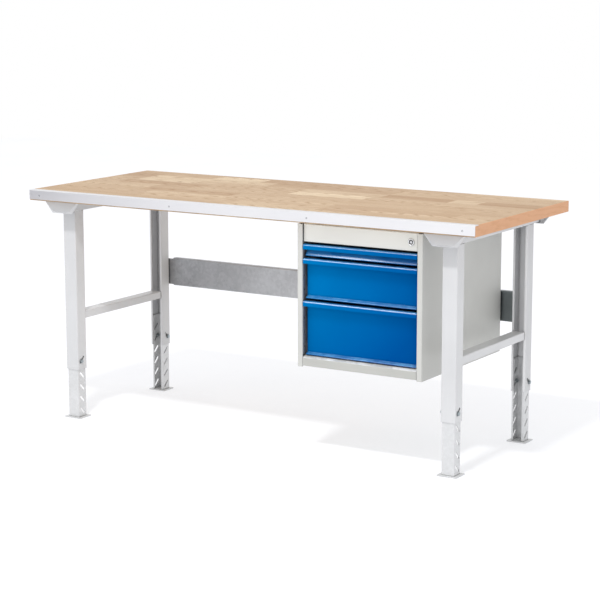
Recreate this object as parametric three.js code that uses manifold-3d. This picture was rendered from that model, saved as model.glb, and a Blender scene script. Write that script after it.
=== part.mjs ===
// A workbench with a hung drawer cabinet, as an assembly of separate pieces.
// Millimetres, +Z up, -Y is the front, origin on the floor under the middle of the worktop.
import * as THREE from 'three';
import { mergeVertices } from 'three/addons/utils/BufferGeometryUtils.js';
import Module from 'manifold-3d';

const wasm = await Module();
wasm.setup();

// ---------------------------------------------------------------- driving dimensions
const FIT = 0.3;                    // gap kept between pieces that touch

const BENCH_LENGTH = 2000;
const BENCH_DEPTH = 800;
const BENCH_HEIGHT = 943;
const BOARD_THICKNESS = 42;

const STRIP_SHEET = 2;              // steel edge strip on the front of the worktop
const STRIP_HEIGHT = 38;
const STRIP_FLANGE = 30;

const FRAME_X = 863;                // middle of an end frame, left and right
const LEG_OUTER_Y = 321;            // outer face of a leg's web, front and back
const LEG_SHEET = 2;
const LEG_WIDTH = 60;
const LEG_DEPTH = 56;
const LEG_LIP = 9;
const LEG_BOTTOM = 202;
const LEG_BEND = 2;                 // radius of a fold, at the middle of the sheet

const BEAM_BOTTOM = 856;
const BEAM_HALF_LENGTH = 372;
const BEAM_FLANGE_WIDTH = 179;
const END_CAP_DEPTH = 8;            // of the pressed cap, and also the width of its sloping rim
const END_CAP_SHEET = 2;
const END_CAP_BOTTOM = 851.5;
const END_CAP_BOTTOM_WIDTH = 99;

const CROSS_RAIL_WIDTH = 50;
const CROSS_RAIL_LOW = 410;
const CROSS_RAIL_HIGH = 440;

const REAR_RAIL_LOW = 462;
const REAR_RAIL_HIGH = 582;
const REAR_RAIL_HALF_LENGTH = 890;
const REAR_RAIL_SHEET = 1.5;
const REAR_RAIL_FLANGE = 22;
const REAR_RAIL_NOTCH = 80;         // the flanges stop short of the rail's ends

const FOOT_PLATE = [80, 70, 4];
const INNER_LEG_WIDTH = 52;
const INNER_LEG_DEPTH = 50;
const INNER_LEG_OUTER_Y = 318;
const INNER_LEG_TOP = 329;
const INNER_LEG_LIP = 8;

const SLOT_RADIUS = 4.5;            // slanted slots for M8 bolts
const SLOT_TRAVEL = 28;             // between the centres of a slot's two round ends
const SLOT_PITCH = 50;
const SLOT_COUNT = 6;
const INNER_SLOT_FIRST_Z = 27;
const INNER_SLOT_Y = 293;
const OUTER_SLOT_Z = 242;
const OUTER_SLOT_Y = 297;
const CLAMP_SLOT = 4;               // counted from the bottom, the inner slot that the bolt uses

const BOLT_RADIUS = 4;
const HEX_ACROSS_FLATS = 13;
const BOLT_HEAD = 5.5;
const NUT_HEIGHT = 6.5;
const WASHER_RADIUS = 8.5;
const WASHER = 1.5;

const CABINET_LEFT = 231;
const CABINET_RIGHT = 761;
const CABINET_FRONT = -336;
const CABINET_BACK = 314;
const CABINET_BOTTOM = 343.5;
const CABINET_TOP = 887;
const CABINET_SHEET = 1.5;
const POST_WIDTH = 22;
const POST_RETURN = 4;
const SHELL_FRONT = -309;           // where the cabinet's top panel starts, behind the fascia
const BACK_FLANGE = 15;
const BACK_SHEET = 1.2;
const SILL_BOTTOM = 348;
const SILL_FACE_TOP = 379;
const SILL_SLOPE_DEPTH = 20;
const SILL_INNER_FLANGE = 22;
const SILL_BACK = -300;
const OPENING_BOTTOM = 388;
const OPENING_TOP = 820;
const FASCIA_RECESS = 6.5;
const FASCIA_DEPTH = 17.5;
const FASCIA_BOTTOM = 821;
const FASCIA_SIDE_GAP = 3;
const HANGER_SPREAD = 200;          // from the cabinet's middle
const HANGER_HALF_LENGTH = 290;
const HANGER_CROWN = 15;            // half widths of the hat section
const HANGER_BRIM = 35;
const HANGER_SHEET = 2;

const DRAWER_PITCHES = [216, 162, 54];   // from the bottom: heights in the 27 mm module
const MODULE = 27;
const FRONT_TOP_GAP = 8;
const FRONT_BOTTOM_GAP = 1.5;
const FRONT_SIDE_GAP = 2;
const FRONT_SHEET = 1.5;
const HANDLE_HEIGHT = 20;
const HANDLE_HEM = 5;
const HANDLE_RADIUS = 7;
const PANEL_RECESS = 24;
const BOTTOM_LIP_DEPTH = 15;
const BOTTOM_LIP_HEIGHT = 10;
const TOP_DRAWER_LIP_HEIGHT = 22;   // the low top drawer has no upright panel, only a long slope
const PANEL_INSET = 6;              // the panel is narrower than the handle on each side
const TRAY_SHEET = 1.2;
const TRAY_HALF_WIDTH = 228.5;
const TRAY_FRONT = CABINET_FRONT + PANEL_RECESS + FRONT_SHEET + FIT;
const TRAY_BACK = 290;
const TRAY_BOTTOM_GAP = 5;
const TRAY_TOP_GAP = 16;

const RAIL_FRONT = -306;
const RAIL_BACK = 294;
const RAIL_SHEET = 1.2;
const FIXED_RAIL = { back: -0.5, tip: 6, halfHeight: 15 };    // distances from the opening's side
const DRAWER_RAIL = { back: 14.1, tip: 8.6, halfHeight: 10 };
const CARRIER = { left: 2.6, webLeft: 6.8, webRight: 8, right: 11.6, halfHeight: 12.5 };
const RACK_SHEET = 1.5;
const RACK_BOTTOM = 392;
const RACK_TOP = 866;
const UPRIGHT_WIDTH = 30;
const UPRIGHT_STARTS = [-327, 235];      // front edges of the two perforated uprights
const UPRIGHT_HOLE_RADIUS = 4.5;
const UPRIGHT_HOLE_INSET = 8;            // from an upright's front edge
const UPRIGHT_FIRST_HOLE = 33;           // above the bottom of the opening

const LOCK_X = 710;
const LOCK_Z = 854;
const LOCK_BORE = 8.3;
const HOUSING_RADIUS = 9.3;
const BARREL_RADIUS = 8;
const ESCUTCHEON_RADIUS = 12.5;
const CRANK_RADIUS = 8.5;
const CRANK_PIN_RADIUS = 2;
const LOCK_BAR_FRONT = -294;
const LOCK_BAR_SHEET = 2.5;
const LOCK_BAR_X = [741, 751];
const LOCK_BAR_BOTTOM = 372;
const LOCK_ARM_HALF_HEIGHT = 8;
const TOOTH_X = 729;                     // the tip of a tooth
const TOOTH_Z = [-38, -32];              // a tooth's and a catch's heights, from the rail's middle
const CATCH_Z = [-25, -19];
const CATCH_SHEET = 3;

const CABINET_MIDDLE = (CABINET_LEFT + CABINET_RIGHT) / 2;
const OPENING_HALF_WIDTH = (CABINET_RIGHT - CABINET_LEFT) / 2 - POST_WIDTH;
const BOARD_BOTTOM = BENCH_HEIGHT - BOARD_THICKNESS;

// ---------------------------------------------------------------- finishes
const finishes = {
  oak: [0xd9b48a, 0.55, 0.0],
  edgeSteel: [0xdcdde2, 0.35, 1.0],
  lightGreyPaint: [0xdcdedf, 0.45, 0.1],
  warmGreyPaint: [0xd6d7d1, 0.45, 0.1],
  bluePaint: [0x0b62b4, 0.4, 0.1],
  galvanised: [0x9fa3a6, 0.45, 0.9],
  zinc: [0xb9bcc0, 0.3, 1.0],
  chrome: [0xe4e6e8, 0.12, 1.0],
};

// ---------------------------------------------------------------- shape helpers
const sum = (list) => list.reduce((total, value) => total + value, 0);

// Keeps only positions and joins shared corners, which makes each mesh one closed skin.
function closed(geometry) {
  geometry.deleteAttribute('normal');
  geometry.deleteAttribute('uv');
  return mergeVertices(geometry, 1e-4);
}

// Pushes a flat outline along an axis. The outline is (y, z), (x, z) or (x, y).
function prism(outline, axis, from, to) {
  const shape = new THREE.Shape(outline.map(([a, b]) => new THREE.Vector2(a, b)));
  const body = new THREE.ExtrudeGeometry(shape, { depth: to - from, bevelEnabled: false });
  const x = new THREE.Vector3(1, 0, 0);
  const y = new THREE.Vector3(0, 1, 0);
  const z = new THREE.Vector3(0, 0, 1);
  const turn = new THREE.Matrix4();
  if (axis === 'x') turn.makeBasis(y, z, x).setPosition(from, 0, 0);
  if (axis === 'y') turn.makeBasis(x, z, y.negate()).setPosition(0, to, 0);
  if (axis === 'z') turn.setPosition(0, 0, from);
  return closed(body.applyMatrix4(turn));
}

function box(xs, ys, zs) {
  const [low, high] = [xs, ys, zs].reduce(([a, b], [from, to]) =>
    [[...a, Math.min(from, to)], [...b, Math.max(from, to)]], [[], []]);
  const size = high.map((value, i) => value - low[i]);
  const body = new THREE.BoxGeometry(...size);
  return closed(body.translate(...low.map((value, i) => value + size[i] / 2)));
}

// A tapering body between two convex outlines in (x, z), which have the same number of corners.
function taper(near, far, nearY, farY) {
  const count = near.length;
  const corners = [
    ...near.map(([x, z]) => [x, nearY, z]),
    ...far.map(([x, z]) => [x, farY, z]),
  ];
  const faces = [];
  for (let i = 1; i < count - 1; i += 1) {
    faces.push([0, i, i + 1], [count, count + i + 1, count + i]);
  }
  for (let i = 0; i < count; i += 1) {
    const next = (i + 1) % count;
    faces.push([i, count + i, count + next], [i, count + next, next]);
  }
  if (nearY > farY) faces.forEach((face) => face.reverse());
  const geometry = new THREE.BufferGeometry();
  geometry.setAttribute('position', new THREE.Float32BufferAttribute(corners.flat(), 3));
  geometry.setIndex(faces.flat());
  return geometry;
}

// Rounds the corners of an open path. A corner's radius is its third number.
function roundedPath(points, radius, steps) {
  const path = [];
  points.forEach(([a, b, own], i) => {
    const corner = new THREE.Vector2(a, b);
    if (i === 0 || i === points.length - 1) {
      path.push(corner);
      return;
    }
    const back = new THREE.Vector2(...points[i - 1].slice(0, 2)).sub(corner).normalize();
    const ahead = new THREE.Vector2(...points[i + 1].slice(0, 2)).sub(corner).normalize();
    const half = Math.acos(THREE.MathUtils.clamp(back.dot(ahead), -1, 1)) / 2;
    const r = own ?? radius;
    const centre = back.clone().add(ahead).normalize().multiplyScalar(r / Math.sin(half)).add(corner);
    const start = corner.clone().addScaledVector(back, r / Math.tan(half)).sub(centre);
    const turn = Math.sign(ahead.cross(back)) * (Math.PI - 2 * half);
    for (let k = 0; k <= steps; k += 1) {
      path.push(start.clone().rotateAround(new THREE.Vector2(), turn * k / steps).add(centre));
    }
  });
  return path;
}

// The outline of a bent sheet whose middle line follows the path.
function sheet(points, thickness, radius = 2, steps = 2) {
  const path = roundedPath(points, radius, steps);
  const sides = [1, -1].map((side) => path.map((point, i) => {
    const before = path[Math.max(i - 1, 0)];
    const after = path[Math.min(i + 1, path.length - 1)];
    const inward = point.clone().sub(before).normalize();
    const onward = after.clone().sub(point).normalize();
    const along = inward.clone().add(onward).normalize();
    const spread = Math.max(along.dot(onward), along.dot(inward));
    const offset = side * thickness / 2 / spread;
    return [point.x - along.y * offset, point.y + along.x * offset];
  }));
  return [...sides[0], ...sides[1].reverse()];
}

function solid(geometry) {
  const mesh = new wasm.Mesh({
    numProp: 3,
    vertProperties: new Float32Array(geometry.attributes.position.array),
    triVerts: new Uint32Array(geometry.index.array),
  });
  return new wasm.Manifold(mesh);
}

function skin(manifold) {
  const mesh = manifold.getMesh();
  const geometry = new THREE.BufferGeometry();
  geometry.setAttribute('position', new THREE.BufferAttribute(mesh.vertProperties, 3));
  geometry.setIndex(new THREE.BufferAttribute(mesh.triVerts, 1));
  return geometry;
}

const joined = (...pieces) => skin(pieces.map(solid).reduce((whole, piece) => whole.add(piece)));
const cut = (piece, ...tools) =>
  skin(tools.map(solid).reduce((left, tool) => left.subtract(tool), solid(piece)));

// A round rod along X or Y.
function rod(radius, axis, from, to, [a, b], sides = 12) {
  const body = new THREE.CylinderGeometry(radius, radius, to - from, sides);
  const middle = (from + to) / 2;
  if (axis === 'x') body.rotateZ(-Math.PI / 2).translate(middle, a, b);
  if (axis === 'y') body.translate(a, middle, b);
  return closed(body);
}

// A hexagonal prism along X.
function hexagon(from, to, [y, z]) {
  const radius = HEX_ACROSS_FLATS / Math.sqrt(3);
  const corners = Array.from({ length: 6 }, (_, i) => {
    const angle = i * Math.PI / 3;
    return [y + radius * Math.cos(angle), z + radius * Math.sin(angle)];
  });
  return prism(corners, 'x', Math.min(from, to), Math.max(from, to));
}

// A slot's outline in (y, z). It rises towards +Y where rise is 1 and towards -Y where it is -1.
function slantedSlot(y, z, rise) {
  const lean = Math.atan2(1, rise);
  const steps = 4;
  const outline = [];
  for (const end of [1, -1]) {
    for (let k = 0; k <= steps; k += 1) {
      const angle = lean + (end < 0 ? Math.PI : 0) - Math.PI / 2 + Math.PI * k / steps;
      outline.push([
        y + end * Math.cos(lean) * SLOT_TRAVEL / 2 + SLOT_RADIUS * Math.cos(angle),
        z + end * Math.sin(lean) * SLOT_TRAVEL / 2 + SLOT_RADIUS * Math.sin(angle),
      ]);
    }
  }
  return outline;
}

const bench = new THREE.Group();

function add(name, geometry, finish) {
  const [color, roughness, metalness] = finishes[finish];
  const material = new THREE.MeshStandardMaterial({ color, roughness, metalness });
  const mesh = new THREE.Mesh(geometry, material);
  mesh.name = name;
  bench.add(mesh);
}

const ENDS = [['left', -1], ['right', 1]];
const ROWS = [['front', -1], ['rear', 1]];

// ---------------------------------------------------------------- worktop
function worktopBoard() {
  const front = -BENCH_DEPTH / 2 + STRIP_SHEET + FIT;
  const rebate = -BENCH_DEPTH / 2 + STRIP_FLANGE + FIT;
  const back = BENCH_DEPTH / 2;
  const ledge = BENCH_HEIGHT - STRIP_SHEET - FIT;
  const outline = [
    [front, BOARD_BOTTOM], [back, BOARD_BOTTOM], [back, BENCH_HEIGHT],
    [rebate, BENCH_HEIGHT], [rebate, ledge], [front + 1, ledge], [front, ledge - 1],
  ];
  return prism(outline, 'x', -BENCH_LENGTH / 2, BENCH_LENGTH / 2);
}

function edgeStrip() {
  const face = -BENCH_DEPTH / 2 + STRIP_SHEET / 2;
  const top = BENCH_HEIGHT - STRIP_SHEET / 2;
  const path = [
    [face, BENCH_HEIGHT - STRIP_HEIGHT], [face, top], [-BENCH_DEPTH / 2 + STRIP_FLANGE, top],
  ];
  return prism(sheet(path, STRIP_SHEET, 2), 'x', -BENCH_LENGTH / 2, BENCH_LENGTH / 2);
}

add('worktop_board', worktopBoard(), 'oak');
add('front_edge_strip', edgeStrip(), 'edgeSteel');

// ---------------------------------------------------------------- end frames
// A hat-shaped beam under the worktop, closed by a welded plate at each end.
function topBeam(end) {
  const x = end * FRAME_X;
  const half = LEG_WIDTH / 2 - LEG_SHEET / 2;
  const wide = BEAM_FLANGE_WIDTH / 2;
  const flange = BOARD_BOTTOM - FIT - LEG_SHEET / 2;
  const web = BEAM_BOTTOM + FIT + LEG_SHEET / 2;
  const hat = [
    [x - wide, flange], [x - half, flange], [x - half, web],
    [x + half, web], [x + half, flange], [x + wide, flange],
  ];
  const inset = BEAM_HALF_LENGTH - END_CAP_SHEET / 2;
  const beam = prism(sheet(hat, LEG_SHEET), 'y', -inset, inset);
  return joined(beam, ...ROWS.map(([, row]) => endCap(x, row)));
}

// A pressed trapezoid cap whose rim slopes back along its sides and its lower edge.
function endCap(x, row) {
  const top = BOARD_BOTTOM - FIT;
  const wide = BEAM_FLANGE_WIDTH / 2;
  const low = END_CAP_BOTTOM_WIDTH / 2;
  const trapezoid = (inset, bottom) => [
    [x - low + inset, bottom], [x + low - inset, bottom], [x + wide - inset, top], [x - wide + inset, top],
  ];
  const outerY = row * BEAM_HALF_LENGTH;
  const backY = row * (BEAM_HALF_LENGTH - END_CAP_DEPTH);
  const shift = row * END_CAP_SHEET;
  const rim = trapezoid(0, END_CAP_BOTTOM);
  const face = trapezoid(END_CAP_DEPTH, END_CAP_BOTTOM + END_CAP_DEPTH);
  const shell = taper(face, rim, outerY, backY);
  const hollow = taper(face, rim, outerY - shift, backY - shift);
  const keepTop = box([x - wide, x + wide], [outerY - shift, outerY], [top - END_CAP_SHEET, top]);
  return joined(cut(shell, hollow), keepTop);
}

// A C-shaped channel standing up, with its web outwards and its lips towards the bench's middle.
function channel(x, row, outerY, width, depth, lip) {
  const half = (width - LEG_SHEET) / 2;
  const web = row * (outerY - LEG_SHEET / 2);
  const open = row * (outerY - depth + LEG_SHEET / 2);
  const tip = half - lip + LEG_SHEET / 2;
  return [
    [x - tip, open], [x - half, open], [x - half, web],
    [x + half, web], [x + half, open], [x + tip, open],
  ];
}

function outerLeg(end, row) {
  const x = end * FRAME_X;
  const path = channel(x, row, LEG_OUTER_Y, LEG_WIDTH, LEG_DEPTH, LEG_LIP);
  const body = prism(sheet(path, LEG_SHEET, LEG_BEND), 'z', LEG_BOTTOM, BEAM_BOTTOM);
  const slot = slantedSlot(row * OUTER_SLOT_Y, OUTER_SLOT_Z, -row);
  return cut(body, prism(slot, 'x', x - LEG_WIDTH, x + LEG_WIDTH));
}

function innerLeg(end, row) {
  const x = end * FRAME_X;
  const path = channel(x, row, INNER_LEG_OUTER_Y, INNER_LEG_WIDTH, INNER_LEG_DEPTH, INNER_LEG_LIP);
  const body = prism(sheet(path, LEG_SHEET, LEG_BEND), 'z', FOOT_PLATE[2] + FIT, INNER_LEG_TOP);
  const slots = Array.from({ length: SLOT_COUNT }, (_, i) => {
    const outline = slantedSlot(row * INNER_SLOT_Y, INNER_SLOT_FIRST_Z + i * SLOT_PITCH, row);
    return prism(outline, 'x', x - LEG_WIDTH, x + LEG_WIDTH);
  });
  return cut(body, ...slots);
}

function footPlate(end, row) {
  const x = end * FRAME_X;
  const y = row * (INNER_LEG_OUTER_Y - INNER_LEG_DEPTH / 2);
  const [width, depth, thickness] = FOOT_PLATE;
  return box([x - width / 2, x + width / 2], [y - depth / 2, y + depth / 2], [0, thickness]);
}

// Where the slanted slots of the two legs cross, measured from the bench's middle.
const clampSlotZ = INNER_SLOT_FIRST_Z + CLAMP_SLOT * SLOT_PITCH;
const boltY = (OUTER_SLOT_Z + OUTER_SLOT_Y - clampSlotZ + INNER_SLOT_Y) / 2;
const boltZ = OUTER_SLOT_Z + OUTER_SLOT_Y - boltY;

// A flanged bolt with its nut, through one wall of the outer leg and one wall of the inner leg.
function clampBolt(end, row, side) {
  const at = (distance) => end * FRAME_X + side * distance;
  const centre = [row * boltY, boltZ];
  const span = (from, to) => [Math.min(at(from), at(to)), Math.max(at(from), at(to))];
  const outside = LEG_WIDTH / 2 + FIT;
  const inside = INNER_LEG_WIDTH / 2 - LEG_SHEET - FIT;
  const head = hexagon(at(outside + 0.5), at(outside + WASHER + BOLT_HEAD), centre);
  const headFlange = rod(WASHER_RADIUS, 'x', ...span(outside, outside + WASHER), centre, 16);
  const shank = rod(BOLT_RADIUS, 'x', ...span(inside - NUT_HEIGHT - 3, outside + WASHER), centre);
  const nut = hexagon(at(inside - 0.5), at(inside - NUT_HEIGHT), centre);
  const nutFlange = rod(WASHER_RADIUS, 'x', ...span(inside - WASHER, inside), centre, 16);
  return joined(head, headFlange, shank, nut, nutFlange);
}

function crossRail(end) {
  const x = end * FRAME_X;
  const half = (CROSS_RAIL_WIDTH - LEG_SHEET) / 2;
  const top = CROSS_RAIL_HIGH - LEG_SHEET / 2;
  const path = [
    [x - half, CROSS_RAIL_LOW], [x - half, top], [x + half, top], [x + half, CROSS_RAIL_LOW],
  ];
  const reach = LEG_OUTER_Y - LEG_DEPTH - FIT;
  return prism(sheet(path, LEG_SHEET), 'y', -reach, reach);
}

for (const [endName, end] of ENDS) {
  add(`top_beam_${endName}`, topBeam(end), 'lightGreyPaint');
  add(`cross_rail_${endName}`, crossRail(end), 'lightGreyPaint');
  for (const [rowName, row] of ROWS) {
    const corner = `${rowName}_${endName}`;
    add(`outer_leg_${corner}`, outerLeg(end, row), 'lightGreyPaint');
    add(`inner_leg_${corner}`, innerLeg(end, row), 'galvanised');
    add(`foot_plate_${corner}`, footPlate(end, row), 'galvanised');
    for (const [sideName, side] of [['outside', end], ['inside', -end]]) {
      add(`leg_bolt_${corner}_${sideName}`, clampBolt(end, row, side), 'zinc');
    }
  }
}

// ---------------------------------------------------------------- rear rail
function rearRail() {
  const face = LEG_OUTER_Y + FIT + REAR_RAIL_SHEET / 2;
  const low = REAR_RAIL_LOW + REAR_RAIL_SHEET / 2;
  const high = REAR_RAIL_HIGH - REAR_RAIL_SHEET / 2;
  const path = [
    [face + REAR_RAIL_FLANGE, low], [face, low], [face, high], [face + REAR_RAIL_FLANGE, high],
  ];
  const folded = REAR_RAIL_HALF_LENGTH - REAR_RAIL_NOTCH;
  const middle = prism(sheet(path, REAR_RAIL_SHEET), 'x', -folded, folded);
  const tabs = ENDS.map(([, end]) => box(
    [end * (folded - 1), end * REAR_RAIL_HALF_LENGTH],
    [face - REAR_RAIL_SHEET / 2, face + REAR_RAIL_SHEET / 2],
    [REAR_RAIL_LOW + 4, REAR_RAIL_HIGH - 4],
  ));
  return joined(middle, ...tabs);
}

add('rear_rail', rearRail(), 'galvanised');

// ---------------------------------------------------------------- cabinet shell
const half = CABINET_SHEET / 2;
const innerLeft = CABINET_LEFT + CABINET_SHEET + 2 * FIT;
const innerRight = CABINET_RIGHT - CABINET_SHEET - 2 * FIT;
const panelBack = CABINET_BACK - CABINET_SHEET - FIT;

// One folded sheet: front post, side wall and rear flange.
function cabinetSide(end) {
  const wall = end < 0 ? CABINET_LEFT + half : CABINET_RIGHT - half;
  const post = wall - end * (POST_WIDTH - CABINET_SHEET);
  const path = [
    [post, CABINET_FRONT + POST_RETURN], [post, CABINET_FRONT + half], [wall, CABINET_FRONT + half],
    [wall, CABINET_BACK - half], [wall - end * BACK_FLANGE, CABINET_BACK - half],
  ];
  return prism(sheet(path, CABINET_SHEET, 1.8), 'z', CABINET_BOTTOM, CABINET_TOP);
}

function cabinetBottom() {
  const face = CABINET_FRONT + half;
  const slopeBack = face + SILL_SLOPE_DEPTH;
  const floor = SILL_BOTTOM + half;
  const path = [
    [SILL_BACK, floor], [face, floor], [face, SILL_FACE_TOP], [slopeBack, OPENING_BOTTOM],
    [slopeBack, OPENING_BOTTOM - SILL_INNER_FLANGE],
  ];
  const reach = OPENING_HALF_WIDTH - FIT;
  const sill = prism(sheet(path, CABINET_SHEET), 'x', CABINET_MIDDLE - reach, CABINET_MIDDLE + reach);
  const front = CABINET_FRONT + POST_RETURN + 1;
  const heights = [SILL_BOTTOM, SILL_BOTTOM + CABINET_SHEET];
  const panel = box([innerLeft, innerRight], [front, panelBack], heights);
  return joined(sill, panel);
}

function cabinetTop() {
  const top = CABINET_TOP - half;
  const path = [
    [innerLeft + half, RACK_TOP + 3], [innerLeft + half, top],
    [innerRight - half, top], [innerRight - half, RACK_TOP + 3],
  ];
  return prism(sheet(path, CABINET_SHEET), 'y', SHELL_FRONT, panelBack - 2);
}

function cabinetBack() {
  return box(
    [innerLeft, innerRight],
    [panelBack - BACK_SHEET, panelBack],
    [SILL_BOTTOM + CABINET_SHEET + FIT, CABINET_TOP - CABINET_SHEET - FIT],
  );
}

function lockFascia() {
  const face = CABINET_FRONT + FASCIA_RECESS + half;
  const back = CABINET_FRONT + FASCIA_RECESS + FASCIA_DEPTH;
  const path = [
    [back, CABINET_TOP - half], [face, CABINET_TOP - half],
    [face, FASCIA_BOTTOM + half], [back, FASCIA_BOTTOM + half],
  ];
  const reach = OPENING_HALF_WIDTH - FASCIA_SIDE_GAP;
  const panel = prism(sheet(path, CABINET_SHEET), 'x', CABINET_MIDDLE - reach, CABINET_MIDDLE + reach);
  const bore = rod(HOUSING_RADIUS + FIT, 'y', CABINET_FRONT, back, [LOCK_X, LOCK_Z], 20);
  return cut(panel, bore);
}

// A low hat-shaped rail that fills the gap between the cabinet and the worktop.
function cabinetHanger(x) {
  const low = CABINET_TOP + FIT + HANGER_SHEET / 2;
  const high = BOARD_BOTTOM - FIT - HANGER_SHEET / 2;
  const path = [
    [x - HANGER_BRIM, high], [x - HANGER_CROWN, high], [x - HANGER_CROWN, low],
    [x + HANGER_CROWN, low], [x + HANGER_CROWN, high], [x + HANGER_BRIM, high],
  ];
  return prism(sheet(path, HANGER_SHEET), 'y', -HANGER_HALF_LENGTH, HANGER_HALF_LENGTH);
}

for (const [name, end] of ENDS) {
  add(`cabinet_${name}_side`, cabinetSide(end), 'warmGreyPaint');
  add(`cabinet_hanger_${name}`, cabinetHanger(CABINET_MIDDLE + end * HANGER_SPREAD), 'galvanised');
}
add('cabinet_bottom', cabinetBottom(), 'warmGreyPaint');
add('cabinet_top', cabinetTop(), 'warmGreyPaint');
add('cabinet_back', cabinetBack(), 'warmGreyPaint');
add('lock_fascia', lockFascia(), 'warmGreyPaint');

// ---------------------------------------------------------------- lock
function lockHousing() {
  const face = CABINET_FRONT + FASCIA_RECESS;
  const profile = [
    [LOCK_BORE, face - 3], [ESCUTCHEON_RADIUS - 1, face - 3], [ESCUTCHEON_RADIUS, face - 2],
    [ESCUTCHEON_RADIUS, face - FIT], [HOUSING_RADIUS, face - FIT], [HOUSING_RADIUS, face + 22],
    [LOCK_BORE, face + 22], [LOCK_BORE, face - 3],
  ];
  const ring = new THREE.LatheGeometry(profile.map(([r, y]) => new THREE.Vector2(r, y)), 24);
  return closed(ring.translate(LOCK_X, 0, LOCK_Z));
}

// The turning barrel, with a key slot in front and a crank with its pin behind.
function lockBarrel() {
  const front = CABINET_FRONT + FASCIA_RECESS - 3.5;
  const lever = [LOCK_BAR_FRONT - 4, LOCK_BAR_FRONT - 1];
  const barrel = rod(BARREL_RADIUS, 'y', front, lever[1], [LOCK_X, LOCK_Z], 24);
  const reach = CRANK_RADIUS / Math.SQRT2;
  const long = CRANK_RADIUS + 4;
  const arm = closed(new THREE.BoxGeometry(long, lever[1] - lever[0], 9));
  arm.translate(-long / 2, 0, 0).rotateY(-Math.PI / 4);
  arm.translate(LOCK_X, (lever[0] + lever[1]) / 2, LOCK_Z);
  const pin = rod(CRANK_PIN_RADIUS, 'y', lever[0] + 1, LOCK_BAR_FRONT + LOCK_BAR_SHEET + 2,
    [LOCK_X - reach, LOCK_Z - reach]);
  const keySlot = box([LOCK_X - 1, LOCK_X + 1], [front - 1, front + 4], [LOCK_Z - 5, LOCK_Z + 5]);
  return cut(joined(barrel, arm, pin), keySlot);
}

// Heights of the drawers' lower limits, from the bottom drawer up.
const drawerBottoms = DRAWER_PITCHES.map((_, i) => OPENING_BOTTOM + sum(DRAWER_PITCHES.slice(0, i)));

// The bar that stands in front of the drawers' catches when it is lifted.
function lockBar() {
  const ys = [LOCK_BAR_FRONT, LOCK_BAR_FRONT + LOCK_BAR_SHEET];
  const reach = CRANK_RADIUS / Math.SQRT2;
  const pinZ = LOCK_Z - reach;
  const slack = CRANK_PIN_RADIUS + 0.75;
  const armHeights = [pinZ - LOCK_ARM_HALF_HEIGHT, pinZ + LOCK_ARM_HALF_HEIGHT];
  const bar = box(LOCK_BAR_X, ys, [LOCK_BAR_BOTTOM, armHeights[1]]);
  const arm = box([LOCK_X - CRANK_RADIUS - LOCK_ARM_HALF_HEIGHT, LOCK_BAR_X[1]], ys, armHeights);
  const teeth = drawerBottoms.map((z) =>
    box([TOOTH_X, LOCK_BAR_X[1]], ys, TOOTH_Z.map((height) => z + MODULE + height)));
  const window = box([LOCK_X - CRANK_RADIUS - slack, LOCK_X - reach + slack],
    [ys[0] - 1, ys[1] + 1], [pinZ - slack, pinZ + slack]);
  return cut(joined(bar, arm, ...teeth), window);
}

add('lock_housing', lockHousing(), 'chrome');
add('lock_barrel', lockBarrel(), 'chrome');
add('lock_bar', lockBar(), 'zinc');

// ---------------------------------------------------------------- runners
// Places a distance from the rack's face, counted towards the drawer, on the left or right side.
const inward = (end, distance) => CABINET_MIDDLE + end * (OPENING_HALF_WIDTH - distance);

function railPrism(outline, end, z) {
  return prism(outline.map(([u, w]) => [inward(end, u), z + w]), 'y', RAIL_FRONT, RAIL_BACK);
}

// A C-shaped rail. Its flanges reach from its back to its tip.
function cRail(end, z, { back, tip, halfHeight }, thickness) {
  const step = Math.sign(tip - back) * thickness;
  return railPrism([
    [back, -halfHeight], [tip, -halfHeight], [tip, thickness - halfHeight],
    [back + step, thickness - halfHeight], [back + step, halfHeight - thickness],
    [tip, halfHeight - thickness], [tip, halfHeight], [back, halfHeight],
  ], end, z);
}

function carrierRail(end, z) {
  const { left, webLeft, webRight, right, halfHeight: high } = CARRIER;
  const low = high - RAIL_SHEET;
  return railPrism([
    [left, -high], [right, -high], [right, -low], [webRight, -low], [webRight, low], [right, low],
    [right, high], [left, high], [left, low], [webLeft, low], [webLeft, -low], [left, -low],
  ], end, z);
}

function drawerRail(end, z) {
  const rail = cRail(end, z, DRAWER_RAIL, RAIL_SHEET);
  if (end < 0) return rail;
  const front = LOCK_BAR_FRONT + LOCK_BAR_SHEET + 2.5;
  const wide = [inward(end, DRAWER_RAIL.back), inward(end, 3)];
  const plate = [inward(end, DRAWER_RAIL.back), inward(end, DRAWER_RAIL.back - RAIL_SHEET)];
  const stem = box(plate, [front, front + 12], [z + CATCH_Z[0], z - DRAWER_RAIL.halfHeight + 1]);
  const catchTab = box(wide, [front, front + CATCH_SHEET], CATCH_Z.map((height) => z + height));
  return joined(rail, stem, catchTab);
}

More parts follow.
